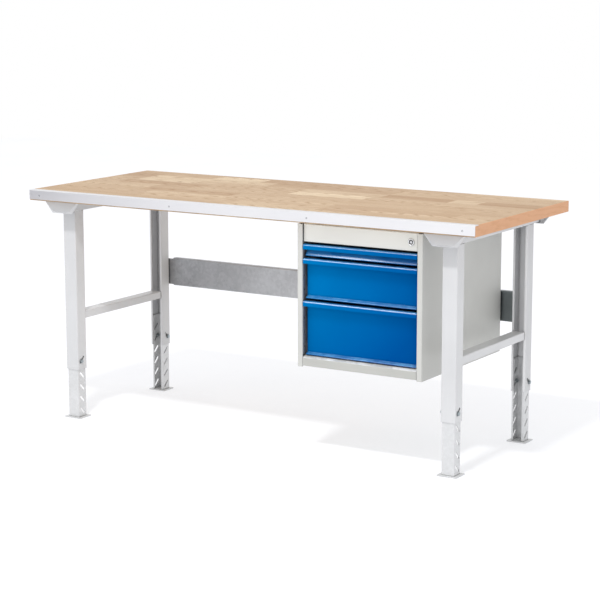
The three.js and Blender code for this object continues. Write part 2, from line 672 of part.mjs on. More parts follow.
// Two perforated uprights and the three fixed rails that they carry.
function runnerRack(end) {
  const face = inward(end, -RACK_SHEET / 2);
  const wall = end < 0 ? innerLeft : innerRight;
  const uprights = UPRIGHT_STARTS.map((y) => {
    const near = y + RACK_SHEET / 2;
    const far = y + UPRIGHT_WIDTH - RACK_SHEET / 2;
    const path = [[wall, near], [face, near], [face, far], [wall, far]];
    return prism(sheet(path, RACK_SHEET, 1.5), 'z', RACK_BOTTOM, RACK_TOP);
  });
  const rails = drawerBottoms.map((z) => cRail(end, z + MODULE, FIXED_RAIL, RACK_SHEET));
  const holeCount = sum(DRAWER_PITCHES) / (2 * MODULE);
  const span = [inward(end, -8), inward(end, 3)];
  const holes = [];
  for (const y of UPRIGHT_STARTS) {
    for (let i = 0; i < holeCount; i += 1) {
      const z = OPENING_BOTTOM + UPRIGHT_FIRST_HOLE + 2 * MODULE * i;
      const centre = [y + UPRIGHT_HOLE_INSET, z];
      holes.push(rod(UPRIGHT_HOLE_RADIUS, 'x', Math.min(...span), Math.max(...span), centre, 8));
    }
  }
  return cut(joined(...uprights, ...rails), ...holes);
}

for (const [name, end] of ENDS) {
  add(`runner_rack_${name}`, runnerRack(end), 'galvanised');
}

// ---------------------------------------------------------------- drawers
// One bent sheet: the handle's hem and rounded nose, the recessed panel and the sloping lip.
function drawerFront(low, pitch) {
  const top = low + pitch - FRONT_TOP_GAP;
  const bottom = low + FRONT_BOTTOM_GAP;
  const middle = FRONT_SHEET / 2;
  const nose = CABINET_FRONT + middle;
  const panel = CABINET_FRONT + PANEL_RECESS + middle;
  const lip = panel - BOTTOM_LIP_DEPTH;
  const lipHeight = pitch > 2 * MODULE ? BOTTOM_LIP_HEIGHT : TOP_DRAWER_LIP_HEIGHT;
  const path = [
    [nose + HANDLE_HEM, top - HANDLE_HEIGHT + middle], [nose, top - HANDLE_HEIGHT + middle],
    [nose, top - middle, HANDLE_RADIUS], [panel, top - middle],
    [panel, bottom + lipHeight], [lip, bottom + middle], [panel, bottom + middle],
  ];
  const reach = OPENING_HALF_WIDTH - FRONT_SIDE_GAP;
  const whole = prism(sheet(path, FRONT_SHEET, 1.2, 3), 'x', CABINET_MIDDLE - reach, CABINET_MIDDLE + reach);
  const notches = ENDS.map(([, end]) => box(
    [CABINET_MIDDLE + end * (reach - PANEL_INSET), CABINET_MIDDLE + end * (reach + 1)],
    [CABINET_FRONT - 1, panel + FRONT_SHEET],
    [bottom - 1, top - HANDLE_HEIGHT - 0.1],
  ));
  return cut(whole, ...notches);
}

function drawerTray(low, pitch) {
  const outside = [CABINET_MIDDLE - TRAY_HALF_WIDTH, CABINET_MIDDLE + TRAY_HALF_WIDTH];
  const heights = [low + TRAY_BOTTOM_GAP, low + pitch - TRAY_TOP_GAP];
  const tub = box(outside, [TRAY_FRONT, TRAY_BACK], heights);
  const hollow = box(
    [outside[0] + TRAY_SHEET, outside[1] - TRAY_SHEET],
    [TRAY_FRONT + TRAY_SHEET, TRAY_BACK - TRAY_SHEET],
    [heights[0] + TRAY_SHEET, heights[1] + 10],
  );
  return cut(tub, hollow);
}

const names = ['bottom', 'middle', 'top'];
DRAWER_PITCHES.forEach((pitch, i) => {
  const low = drawerBottoms[i];
  add(`${names[i]}_drawer_front`, drawerFront(low, pitch), 'bluePaint');
  add(`${names[i]}_drawer_tray`, drawerTray(low, pitch), 'bluePaint');
  for (const [name, end] of ENDS) {
    add(`${names[i]}_drawer_rail_${name}`, drawerRail(end, low + MODULE), 'zinc');
    add(`${names[i]}_drawer_carrier_${name}`, carrierRail(end, low + MODULE), 'zinc');
  }
});

export default bench;
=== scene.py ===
# %% [markdown]
# # A workbench with a drawer cabinet
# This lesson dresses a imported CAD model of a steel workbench: an oak top with a steel front edge,
# two welded end frames with telescopic legs, a rear rail and a hung cabinet with three drawers.
# The CAD model is loaded first and stays where it is. Sheet parts with the right shape keep their
# CAD mesh and get real edges and finishes. Parts that are seen close, such as the oak staves, the
# drawer fronts, the lock and the screws, are made again here with finer meshes.

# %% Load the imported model
import math
import random

import bmesh
import bpy
from mathutils import Matrix, Vector


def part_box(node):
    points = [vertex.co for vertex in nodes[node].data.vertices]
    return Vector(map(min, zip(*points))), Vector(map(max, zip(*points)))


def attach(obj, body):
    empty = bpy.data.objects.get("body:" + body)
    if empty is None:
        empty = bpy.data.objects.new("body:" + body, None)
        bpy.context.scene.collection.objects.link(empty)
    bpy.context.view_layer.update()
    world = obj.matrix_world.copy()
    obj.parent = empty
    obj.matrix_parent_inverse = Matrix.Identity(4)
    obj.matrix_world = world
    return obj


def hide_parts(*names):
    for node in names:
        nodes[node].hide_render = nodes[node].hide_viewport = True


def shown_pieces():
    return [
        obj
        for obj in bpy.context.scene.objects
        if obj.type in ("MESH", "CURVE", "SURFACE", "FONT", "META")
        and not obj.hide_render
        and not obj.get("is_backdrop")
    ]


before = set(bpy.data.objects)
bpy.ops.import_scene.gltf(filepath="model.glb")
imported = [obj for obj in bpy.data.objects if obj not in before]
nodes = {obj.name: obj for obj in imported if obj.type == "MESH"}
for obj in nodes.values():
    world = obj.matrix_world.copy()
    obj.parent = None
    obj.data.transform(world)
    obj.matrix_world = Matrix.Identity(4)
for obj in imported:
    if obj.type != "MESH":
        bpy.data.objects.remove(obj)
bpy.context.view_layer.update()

MM = 0.001

# %% [markdown]
# ## Camera
# A long lens far from the bench keeps its long edges almost parallel, as a catalogue view does.
# The camera stands to the front right, a little above the worktop. Its place and the point that it
# looks at fix the view, and a very small roll is added afterwards.

# %% Camera
CAMERA_PLACE = Vector((3.9295, -6.2849, 1.8769))
CAMERA_AIM = Vector((0.1308, -0.1559, 0.5598))
CAMERA_ROLL = math.radians(-0.075)
SENSOR_WIDTH = 36
FOCAL_LENGTH = 113.82

lens = bpy.data.cameras.new("view_from_the_front_right")
lens.sensor_width = SENSOR_WIDTH
lens.lens = FOCAL_LENGTH
camera = bpy.data.objects.new("view_from_the_front_right", lens)
bpy.context.scene.collection.objects.link(camera)
aim = (CAMERA_AIM - CAMERA_PLACE).to_track_quat("-Z", "Y").to_matrix().to_4x4()
camera.matrix_world = Matrix.Translation(CAMERA_PLACE) @ aim @ Matrix.Rotation(CAMERA_ROLL, 4, "Z")
bpy.context.scene.camera = camera
bpy.context.scene.view_settings.view_transform = "Standard"
print("camera distance to the bench in metres:", round((CAMERA_AIM - CAMERA_PLACE).length, 2))

# %% [markdown]
# ## Small helpers for node trees
# Every finish below is a tree of shader nodes. One helper adds a node, sets its options and fills
# its sockets with numbers or links, so a finish reads as a short list. Two more helpers start a
# material and a node group.

# %% Node helpers
def put(tree, kind, sockets=None, **options):
    """Adds a node. The sockets get a number, a colour or a link from another node."""
    node = tree.nodes.new("ShaderNode" + kind)
    for name, value in options.items():
        setattr(node, name, value)
    for name, value in (sockets or {}).items():
        if isinstance(value, bpy.types.NodeSocket):
            tree.links.new(value, node.inputs[name])
        else:
            node.inputs[name].default_value = value
    return node


def calc(tree, operation, first, second=0.0, clamp=False):
    """One step of arithmetic on values."""
    return put(tree, "Math", {0: first, 1: second}, operation=operation, use_clamp=clamp).outputs[0]


def blend(tree, share, first, second):
    """A colour between two colours. A plain colour is given as (red, green, blue)."""
    first, second = (c + (1.0,) if isinstance(c, tuple) else c for c in (first, second))
    return put(tree, "Mix", {0: share, 6: first, 7: second}, data_type="RGBA").outputs[2]


def lay_over(tree, mask, share, base, colour):
    """Lays a colour over a base by a share of a mask."""
    return blend(tree, calc(tree, "MULTIPLY", mask, share), base, colour)


def spread(tree, value, low, high, to_low, to_high):
    """Maps a value from one range to another and keeps it inside."""
    sockets = {0: value, 1: low, 2: high, 3: to_low, 4: to_high}
    return put(tree, "MapRange", sockets).outputs[0]


def clouds(tree, place, scale, detail=2.0, roughness=0.5):
    """Soft noise between about 0.3 and 0.7."""
    sockets = {"Vector": place, "Scale": scale, "Detail": detail, "Roughness": roughness}
    return put(tree, "TexNoise", sockets).outputs[0]


def full_range(tree, noise):
    """Spreads soft noise over the whole range from 0 to 1."""
    return spread(tree, noise, 0.3, 0.7, 0.0, 1.0)


def stretched(tree, place, stretch):
    """Coordinates scaled by a different amount along each axis."""
    return put(tree, "VectorMath", {0: place, 1: stretch}, operation="MULTIPLY").outputs[0]


def centred(tree, value, gain):
    """Moves a value that lies about one half to zero and multiplies it."""
    return calc(tree, "MULTIPLY", calc(tree, "SUBTRACT", value, 0.5), gain)


def object_place(tree):
    """The point's place on the bench, in metres."""
    return put(tree, "TexCoord").outputs["Object"]


def along_axis(tree, vector, axis):
    """One coordinate of a place or a direction."""
    return put(tree, "SeparateXYZ", {0: vector}).outputs[axis]


def upward_part(tree):
    """1 where the surface looks up, 0 where it is upright and -1 where it looks down."""
    return along_axis(tree, put(tree, "NewGeometry").outputs["Normal"], "Z")


def bumped(tree, height, depth, strength, normal):
    """A normal disturbed by a height, whose depth is in metres."""
    sockets = {"Strength": strength, "Distance": depth, "Height": height, "Normal": normal}
    return put(tree, "Bump", sockets).outputs[0]


print("value helpers are ready")

# %% Group and material helpers
def start_group(name, inputs, outputs):
    """A node group. The inputs are (name, default) and the outputs are (name, kind)."""
    group = bpy.data.node_groups.new(name, "ShaderNodeTree")
    for label, default in inputs:
        kind = "NodeSocketVector" if isinstance(default, tuple) else "NodeSocketFloat"
        socket = group.interface.new_socket(label, in_out="INPUT", socket_type=kind)
        socket.default_value = default
    for label, kind in outputs:
        group.interface.new_socket(label, in_out="OUTPUT", socket_type="NodeSocket" + kind)
    start = group.nodes.new("NodeGroupInput")
    end = group.nodes.new("NodeGroupOutput")
    return group, start.outputs, lambda label, value: group.links.new(value, end.inputs[label])


def use(tree, group, **values):
    """Places a group in a material. Words in a socket's name are joined by underscores here."""
    node = tree.nodes.new("ShaderNodeGroup")
    node.node_tree = group
    for name, value in values.items():
        socket = node.inputs[name.replace("_", " ")]
        if isinstance(value, bpy.types.NodeSocket):
            tree.links.new(value, socket)
        else:
            socket.default_value = value
    return node.outputs


def blank_material(name):
    """A material with an empty tree."""
    material = bpy.data.materials.new(name)
    material.use_nodes = True
    material.node_tree.nodes.clear()
    return material, material.node_tree


def start_material(name, **constants):
    """A material with one Principled shader. The constants go on the shader's own sockets."""
    material, tree = blank_material(name)
    shader = put(tree, "BsdfPrincipled")
    for label, value in constants.items():
        shader.inputs[label.replace("_", " ")].default_value = value
    put(tree, "OutputMaterial", {"Surface": shader.outputs[0]})
    return material, tree, shader


def feed(tree, shader, **values):
    """Links values to the shader's sockets."""
    for label, value in values.items():
        tree.links.new(value, shader.inputs[label.replace("_", " ")])


print("group and material helpers are ready")

# %% [markdown]
# ## Effects that many finishes share
# A real sheet part has no razor-sharp edge: its rim is broken, catches light and wears first.
# This could be painted by hand or found from the mesh. Here the Bevel node looks round the edge
# and gives a rounded normal, and where that differs from the flat normal there is an edge. It works
# on any mesh without texture coordinates.

# %% Group: edge wear
edge_wear, value, give = start_group(
    "edge_wear",
    [("Radius", 0.0008), ("Gain", 3.0)],
    [("Edge", "Float"), ("Rounded Normal", "Vector")],
)
tree = edge_wear
rounded = put(tree, "Bevel", {"Radius": value["Radius"]}, samples=4).outputs[0]
flat = put(tree, "NewGeometry").outputs["Normal"]
same = put(tree, "VectorMath", {0: rounded, 1: flat}, operation="DOT_PRODUCT").outputs["Value"]
give("Edge", calc(tree, "MULTIPLY", calc(tree, "SUBTRACT", 1.0, same), value["Gain"], clamp=True))
give("Rounded Normal", rounded)
print("group edge_wear:", len(tree.nodes), "nodes")

# %% [markdown]
# Powder coat is sprayed as dry powder and baked. It flows into a skin with fine waves, called
# orange peel, and it is never quite even in tone. Both could be painted, but noise has no seams.
# Noise at the size of the waves gives the height, and slow noise gives the tone.

# %% Group: powder coat skin
SPECKS_PER_METRE = 160.0

coat_skin, value, give = start_group(
    "coat_skin",
    [("Wave Size", 0.0025), ("Cloud Size", 0.25)],
    [("Height", "Float"), ("Cloud", "Float"), ("Speck", "Float")],
)
tree = coat_skin
place = object_place(tree)
waves = clouds(tree, place, calc(tree, "DIVIDE", 1.0, value["Wave Size"]), 3.0, 0.6)
slow = clouds(tree, place, calc(tree, "DIVIDE", 1.0, value["Cloud Size"]), 3.0)
grains = put(tree, "TexVoronoi", {"Vector": place, "Scale": SPECKS_PER_METRE}).outputs["Distance"]
give("Height", waves)
give("Cloud", full_range(tree, slow))
give("Speck", spread(tree, grains, 0.04, 0.1, 1.0, 0.0))
print("group coat_skin:", len(tree.nodes), "nodes")

# %% [markdown]
# Dust settles on faces that look up. The mask comes from the upward part of the normal, broken up
# by noise. The bench is new, so most finishes use only a trace of dust. On the sloping lips of the
# drawers and on the sill the same mask is strong and is not dust: there it paints a pale sheen, a
# painted highlight that stands for the light on a face that looks up.

# %% Group: dust and painted sheen
settled_dust, value, give = start_group(
    "settled_dust", [("Amount", 0.1), ("Patch Size", 0.08)], [("Dust", "Float")]
)
tree = settled_dust
facing = spread(tree, upward_part(tree), 0.35, 0.85, 0.0, 1.0)
patch = clouds(tree, object_place(tree), calc(tree, "DIVIDE", 1.0, value["Patch Size"]), 5.0, 0.65)
grit = spread(tree, patch, 0.4, 0.7, 0.2, 1.0)
give("Dust", calc(tree, "MULTIPLY", calc(tree, "MULTIPLY", facing, grit), value["Amount"]))
print("group settled_dust:", len(tree.nodes), "nodes")

# %% [markdown]
# Narrow gaps between sheets look almost black, but light alone makes them grey in a bright studio.
# So their shade is painted: the Ambient Occlusion node measures how closed in a point is, and the
# mask darkens the finish in gaps and inner corners with painted shade.

# %% Group: crevice shade
CLOSED, OPEN = 0.25, 0.9

crevices, value, give = start_group(
    "crevices", [("Reach", 0.012), ("Floor", 0.15)], [("Open", "Float")]
)
tree = crevices
closed_in = put(tree, "AmbientOcclusion", {"Distance": value["Reach"]}, samples=6).outputs["AO"]
give("Open", spread(tree, closed_in, CLOSED, OPEN, value["Floor"], 1.0))
print("group crevices:", len(tree.nodes), "nodes")

# %% [markdown]
# Zinc grows on steel in flat crystals. Their edges and tones make the spangle of galvanised sheet.
# Voronoi cells have the same look: each cell gets its own tone, and noise bends the cells so that
# they don't look like tiles.

# %% Group: zinc spangle
SMOKE_SCALE = 0.12

zinc_spangle, value, give = start_group(
    "zinc_spangle",
    [("Crystal Size", 0.012), ("Smear", 0.4)],
    [("Tone", "Float"), ("Height", "Float")],
)
tree = zinc_spangle
place = object_place(tree)
per_metre = calc(tree, "DIVIDE", 1.0, value["Crystal Size"])
sockets = {"Vector": place, "Scale": per_metre, "Detail": 4.0, "Roughness": 0.7}
bend = put(tree, "TexNoise", sockets).outputs["Color"]
shift = put(tree, "VectorMath", {0: bend, "Scale": value["Crystal Size"]}, operation="SCALE")
moved = put(tree, "VectorMath", {0: place, 1: shift.outputs[0]}, operation="ADD").outputs[0]
cells = put(tree, "TexVoronoi", {"Vector": moved, "Scale": per_metre})
tone = put(tree, "SeparateColor", {0: cells.outputs["Color"]}).outputs[0]
smoke = clouds(tree, place, calc(tree, "MULTIPLY", per_metre, SMOKE_SCALE), 4.0, 0.6)
smoke = full_range(tree, smoke)
give("Tone", put(tree, "Mix", {0: value["Smear"], 2: tone, 3: smoke}).outputs[0])
give("Height", cells.outputs["Distance"])
print("group zinc_spangle:", len(tree.nodes), "nodes")

# %% [markdown]
# Handling and polishing leave fine lines. The noise is stretched a hundredfold along one axis, and
# only its highest parts are kept, which leaves separate hairlines.

# %% Group: hairlines
SPARSE_LEVEL = 0.75
FULL_LINE_LEVEL = 0.8
DENSITY_GAIN = 0.3

hairlines, value, give = start_group(
    "hairlines", [("Stretch", (4.0, 900.0, 900.0)), ("Density", 0.5)], [("Lines", "Float")]
)
tree = hairlines
line_noise = clouds(tree, stretched(tree, object_place(tree), value["Stretch"]), 1.0, 2.0)
denser = calc(tree, "MULTIPLY", value["Density"], DENSITY_GAIN)
lowest = calc(tree, "SUBTRACT", SPARSE_LEVEL, denser)
give("Lines", spread(tree, line_noise, lowest, FULL_LINE_LEVEL, 0.0, 1.0))
print("group hairlines:", len(tree.nodes), "nodes")

# %% [markdown]
# A tree grows in rings, and a sawn board cuts through them. Where the cut is close to the middle of
# the tree, the rings show as arches, and further out they show as straight lines. The group
# measures the distance from the tree's middle line, disturbs it with noise and turns it into rings.
# The meshes carry their own wood coordinates, so every stave is cut from another part of a tree.

# %% Group: wood figure
DRIFT_GAIN = 4.0
RIPPLE_DEPTH = 3.5 * MM

wood_figure, value, give = start_group(
    "wood_figure",
    [("Wood Place", (0.0, 0.0, 0.0)), ("Ring Gap", 0.005), ("Wander", 0.006)],
    [("Rings", "Float"), ("Pores", "Float"), ("Broad", "Float")],
)
tree = wood_figure
wood = value["Wood Place"]
parts = put(tree, "SeparateXYZ", {0: wood}).outputs
drift = clouds(tree, stretched(tree, wood, (1.6, 9.0, 9.0)), 1.0, 3.0, 0.55)
ripple = clouds(tree, stretched(tree, wood, (14.0, 90.0, 90.0)), 1.0, 2.0)
across = calc(tree, "MULTIPLY", parts["Y"], parts["Y"])
deep = calc(tree, "MULTIPLY", parts["Z"], parts["Z"])
radius = calc(tree, "SQRT", calc(tree, "ADD", across, deep))
offset = calc(tree, "MULTIPLY", centred(tree, drift, DRIFT_GAIN), value["Wander"])
bent = calc(tree, "ADD", calc(tree, "ADD", radius, offset), centred(tree, ripple, RIPPLE_DEPTH))
phase = calc(tree, "FRACT", calc(tree, "DIVIDE", bent, value["Ring Gap"]))
early = spread(tree, phase, 0.0, 0.35, 1.0, 0.0)
late = spread(tree, phase, 0.85, 1.0, 0.0, 1.0)
rings = calc(tree, "ADD", early, late, clamp=True)
pore_noise = clouds(tree, stretched(tree, wood, (35.0, 1400.0, 1400.0)), 1.0, 2.0, 0.6)
pores = spread(tree, pore_noise, 0.56, 0.7, 0.0, 1.0)
more_in_rings = calc(tree, "ADD", calc(tree, "MULTIPLY", rings, 0.7), 0.3)
broad_noise = clouds(tree, stretched(tree, wood, (2.5, 14.0, 14.0)), 1.0, 3.0)
give("Rings", rings)
give("Pores", calc(tree, "MULTIPLY", pores, more_in_rings))
give("Broad", full_range(tree, broad_noise))
print("group wood_figure:", len(tree.nodes), "nodes")

# %% [markdown]
# ## Painted finishes
# Powder coat covers most of the bench: a cool light grey on the frames, a warmer light grey on the
# cabinet and a strong blue on the drawers. The sill under the drawers gets a darker copy of the
# cabinet grey, which is painted shade, and a painted highlight on its sloping rim. They share one
# recipe with their own colour and gloss. Edges are a little lighter, because the coat draws back
# from a sharp rim, and gaps get a painted shade that is almost black. The clear skin on top is kept
# to faces that look up, where it shows as a soft bright line.

# %% Powder coats
PEEL_DEPTH = 0.06 * MM
GAP_SHADE = 0.04
SHADE_ACROSS = (0.25, 0.75, 0.0, 0.85)
SHADE_DOWN = (0.62, 0.42, 0.0, 0.35)


def powder_coat(name, colour, edge_colour, gloss, peel=PEEL_DEPTH, cloudiness=0.05, shine=0.3,
                dust_and_sheen_share=0.12, dust_and_sheen_colour=(0.62, 0.6, 0.56), reach=0.01, painted_shade_colour=None):
    """A powder coat with orange peel, soft tones, light edges, painted gap shade, dust and painted
    sheen.

    The painted shade colour, the last argument, takes over towards the right and downwards. The two
    constants above this recipe say where this starts and ends in metres, and the share of that
    colour at either place.
    """
    material, tree, shader = start_material(name, Specular_IOR_Level=shine, IOR=1.5, Coat_IOR=1.8,
                                            Coat_Roughness=0.27)
    skin = use(tree, coat_skin, Wave_Size=0.0028, Cloud_Size=0.3)
    edge = use(tree, edge_wear, Radius=0.0012, Gain=2.0)
    dust = use(tree, settled_dust, Amount=dust_and_sheen_share, Patch_Size=0.05)["Dust"]
    darker = tuple(c * (1 - cloudiness) for c in colour)
    lighter = tuple(min(1.0, c * (1 + cloudiness)) for c in colour)
    base = blend(tree, skin["Cloud"], darker, lighter)
    base = lay_over(tree, skin["Speck"], 0.12, base, edge_colour)
    base = lay_over(tree, edge["Edge"], 0.5, base, edge_colour)
    # Painted shade: the colour darkens towards the right and downwards.
    if painted_shade_colour:
        place = object_place(tree)
        across = spread(tree, along_axis(tree, place, "X"), *SHADE_ACROSS)
        down = spread(tree, along_axis(tree, place, "Z"), *SHADE_DOWN)
        base = blend(tree, calc(tree, "ADD", across, down, clamp=True), base, painted_shade_colour)
    # Dust on faces that look up. With a large share, as on the drawers and the sill, it is a
    # painted sheen.
    base = blend(tree, dust, base, dust_and_sheen_colour)
    # Painted shade: the coat turns almost black in gaps and inner corners.
    open_share = use(tree, crevices, Reach=reach, Floor=0.12)["Open"]
    base = blend(tree, open_share, tuple(c * GAP_SHADE for c in colour), base)
    lacquer = spread(tree, upward_part(tree), 0.1, 0.4, 0.0, 1.0)
    rough = spread(tree, skin["Cloud"], 0.0, 1.0, gloss - 0.03, gloss + 0.04)
    rough = calc(tree, "ADD", rough, calc(tree, "MULTIPLY", dust, 1.5), clamp=True)
    feed(tree, shader, Base_Color=base, Roughness=rough,
         Coat_Weight=calc(tree, "MULTIPLY", lacquer, open_share),
         Normal=bumped(tree, skin["Height"], peel, 0.5, edge["Rounded Normal"]))
    return material


print("powder coat recipe is ready")

# %% The five paints
FINE_PEEL = 0.05 * MM
BLUE_EDGE = (0.02, 0.36, 0.8)
WARM_EDGE = (0.84, 0.845, 0.82)

frame_paint = powder_coat("frame_paint", (0.635, 0.638, 0.645), (0.82, 0.83, 0.84), 0.42)
cabinet_paint = powder_coat("cabinet_paint", (0.64, 0.642, 0.612), WARM_EDGE, 0.42)
# The drawer blue: a strong share of pale blue paints a sheen on the lips and other faces that look
# up.
drawer_paint = powder_coat("drawer_paint", (0.0, 0.185, 0.5), BLUE_EDGE, 0.4, FINE_PEEL, 0.06,
                           shine=0.0, dust_and_sheen_share=0.9, dust_and_sheen_colour=(0.12, 0.4, 0.72), reach=0.014,
                           painted_shade_colour=(0.0, 0.085, 0.34))
# The sill: a darker copy of the cabinet grey as painted shade, and a near-white painted highlight
# on its rim.
sill_paint = powder_coat("sill_paint", (0.53, 0.532, 0.5), (0.82, 0.825, 0.8), 0.42,
                         dust_and_sheen_share=1.4, dust_and_sheen_colour=(0.9, 0.9, 0.88))
tray_paint = powder_coat("tray_paint", (0.0, 0.15, 0.44), BLUE_EDGE, 0.4, FINE_PEEL, 0.06,
                         shine=0.1, dust_and_sheen_share=0.03, reach=0.006)
paints = (frame_paint, cabinet_paint, sill_paint, drawer_paint, tray_paint)
print("painted finishes:", *(m.name for m in paints))

# %% [markdown]
# ## Bare metal finishes
# The legs' inner parts, the runner racks and the rear rail are zinc coated sheet. The strip is
# bright satin steel, the small hardware is bright zinc plate and the lock is chromed. Metal shows
# its finish mostly through roughness, so the spangle and the hairlines change the roughness more
# than the colour. The rail's colour has painted light in the middle and painted shade at its right
# end, behind the cabinet.

# %% Zinc coated sheet
PAINTED_GAP_COLOUR = (0.01, 0.01, 0.012)
PAINTED_LIGHT_MIDDLE = (-0.7, 0.25, 0.04, 0.5)
PAINTED_SHADE_END = (0.3, 0.75, 0.0, 0.75)


def zinc_sheet(name, dark, light, crystal, rough_low, rough_high, metal, light_and_shade_along_x=False,
               reach=0.012):
    """Spangled zinc sheet of a given crystal size. It can get painted light and shade along X."""
    material, tree, shader = start_material(name, Metallic=metal)
    spangle = use(tree, zinc_spangle, Crystal_Size=crystal, Smear=0.55)
    edge = use(tree, edge_wear, Radius=0.001, Gain=2.5)
    lines = use(tree, hairlines, Stretch=(300.0, 300.0, 6.0), Density=0.3)["Lines"]
    dust = use(tree, settled_dust, Amount=0.15, Patch_Size=0.04)["Dust"]
    base = blend(tree, spangle["Tone"], dark, light)
    base = lay_over(tree, edge["Edge"], 0.5, base, (0.85, 0.87, 0.9))
    base = lay_over(tree, lines, 0.1, base, (0.9, 0.9, 0.92))
    base = blend(tree, dust, base, (0.5, 0.5, 0.48))
    # Painted light in the middle of the rail and painted shade at its right end, behind the
    # cabinet.
    if light_and_shade_along_x:
        across = along_axis(tree, object_place(tree), "X")
        base = blend(tree, spread(tree, across, *PAINTED_LIGHT_MIDDLE), base, (0.8, 0.81, 0.83))
        base = blend(tree, spread(tree, across, *PAINTED_SHADE_END), base, (0.09, 0.12, 0.125))
    # Painted shade: the zinc turns almost black in gaps and inner corners.
    open_share = use(tree, crevices, Reach=reach, Floor=0.1)["Open"]
    base = blend(tree, open_share, PAINTED_GAP_COLOUR, base)
    feed(tree, shader, Base_Color=base,
         Roughness=spread(tree, spangle["Tone"], 0.0, 1.0, rough_high, rough_low),
         Normal=bumped(tree, spangle["Height"], 0.1 * MM, 0.3, edge["Rounded Normal"]))
    return material


leg_zinc = zinc_sheet("leg_zinc", (0.66, 0.665, 0.665), (0.74, 0.745, 0.75), 0.006, 0.4, 0.5, 0.45,
                      reach=0.003)
rail_zinc = zinc_sheet("rail_zinc", (0.3, 0.305, 0.315), (0.46, 0.465, 0.475), 0.011, 0.3, 0.48,
                       0.85, light_and_shade_along_x=True)
# The racks' zinc is much darker than the legs': painted shade for the dark gaps beside the drawers.
rack_zinc = zinc_sheet("rack_zinc", (0.22, 0.23, 0.25), (0.3, 0.31, 0.33), 0.008, 0.35, 0.5, 0.6,
                       reach=0.004)
print("zinc sheets:", leg_zinc.name, rail_zinc.name, rack_zinc.name)

# %% [markdown]
# The strip is ground along its length, so its hairlines run that way and smear its reflections.
# The same recipe, with other line directions and a lower or higher roughness, gives the zinc plate,
# the chrome of the lock and the duller zinc of the screws.

# %% Strip steel, zinc plate and chrome
def bright_metal(name, colour, rough, line_stretch, line_share, tint, reach=0.004):
    """A bright metal with hairlines in its finish and slow smears in its gloss."""
    material, tree, shader = start_material(name, Metallic=0.95)
    lines = use(tree, hairlines, Stretch=line_stretch, Density=0.6)["Lines"]
    edge = use(tree, edge_wear, Radius=0.0008, Gain=2.0)
    skin = use(tree, coat_skin, Wave_Size=0.004, Cloud_Size=0.35)
    base = blend(tree, skin["Cloud"], colour, tint)
    base = lay_over(tree, edge["Edge"], 0.4, base, (0.95, 0.95, 0.96))
    # Painted shade: the metal turns almost black in gaps and recesses, such as the lock's collar.
    open_share = use(tree, crevices, Reach=reach, Floor=0.05)["Open"]
    base = blend(tree, open_share, PAINTED_GAP_COLOUR, base)
    gloss = spread(tree, skin["Cloud"], 0.0, 1.0, rough, rough * 1.25)
    gloss = calc(tree, "ADD", gloss, calc(tree, "MULTIPLY", lines, line_share), clamp=True)
    feed(tree, shader, Base_Color=base, Roughness=gloss,
         Normal=bumped(tree, lines, 0.03 * MM, 0.25, edge["Rounded Normal"]))
    return material


strip_steel = bright_metal("strip_steel", (0.9, 0.895, 0.905), 0.32, (5.0, 700.0, 700.0), 0.15,
                           (0.85, 0.845, 0.862))
zinc_plate = bright_metal("zinc_plate", (0.62, 0.64, 0.67), 0.28, (400.0, 60.0, 400.0), 0.1,
                          (0.52, 0.54, 0.58))
lock_chrome = bright_metal("lock_chrome", (0.88, 0.89, 0.9), 0.08, (500.0, 500.0, 500.0), 0.05,
                           (0.84, 0.85, 0.87), reach=0.009)
# The leg bolts: real zinc plate in a darker copy, painted shade for heads and nuts that sit in
# shade.
bolt_zinc = bright_metal("bolt_zinc", (0.42, 0.46, 0.48), 0.3, (400.0, 60.0, 400.0), 0.1,
                         (0.34, 0.39, 0.41), reach=0.006)
screw_zinc = bright_metal("screw_zinc", (0.3, 0.31, 0.33), 0.4, (500.0, 500.0, 500.0), 0.1,
                          (0.22, 0.23, 0.25))
bright = (strip_steel, zinc_plate, lock_chrome, bolt_zinc, screw_zinc)
print("bright metals:", *(m.name for m in bright))

# %% [markdown]
# ## Oak
# The worktop is glued up from oak staves, sanded and oiled. Two numbers come with the mesh: the
# wood coordinates of each stave and its tone, because no two staves come from the same tree. The
# ends are closed by a thin banding with a plainer, redder wood, made with the same recipe.

# %% Wood materials
RING_SHADE = (0.7, 0.62, 0.52)
PORE_SHADE = 0.45


def wood_finish(name, dark, light, ring_gap, ring_share, pore_share):
    """Oiled wood from the wood figure group. The mesh holds attributes wood_place and tone."""
    material, tree, shader = start_material(name, Specular_IOR_Level=0.2, IOR=1.5)
    wood = put(tree, "Attribute", attribute_name="wood_place").outputs["Vector"]
    tone = put(tree, "Attribute", attribute_name="tone").outputs["Fac"]
    figure = use(tree, wood_figure, Wood_Place=wood, Ring_Gap=ring_gap, Wander=0.006)
    edge = use(tree, edge_wear, Radius=0.001, Gain=1.5)
    dust = use(tree, settled_dust, Amount=0.04, Patch_Size=0.2)["Dust"]
    patchy = centred(tree, figure["Broad"], 0.22)
    base = blend(tree, calc(tree, "ADD", tone, patchy, clamp=True), dark, light)
    ring_dark = tuple(c * f for c, f in zip(dark, RING_SHADE))
    base = lay_over(tree, figure["Rings"], ring_share, base, ring_dark)
    base = lay_over(tree, figure["Pores"], pore_share, base, tuple(c * PORE_SHADE for c in dark))
    base = blend(tree, dust, base, (0.7, 0.66, 0.6))
    solid = calc(tree, "SUBTRACT", 1.0, figure["Pores"])
    feed(tree, shader, Base_Color=base,
         Roughness=spread(tree, figure["Rings"], 0.0, 1.0, 0.44, 0.54),
         Normal=bumped(tree, solid, 0.15 * MM, 0.4, edge["Rounded Normal"]))
    return material


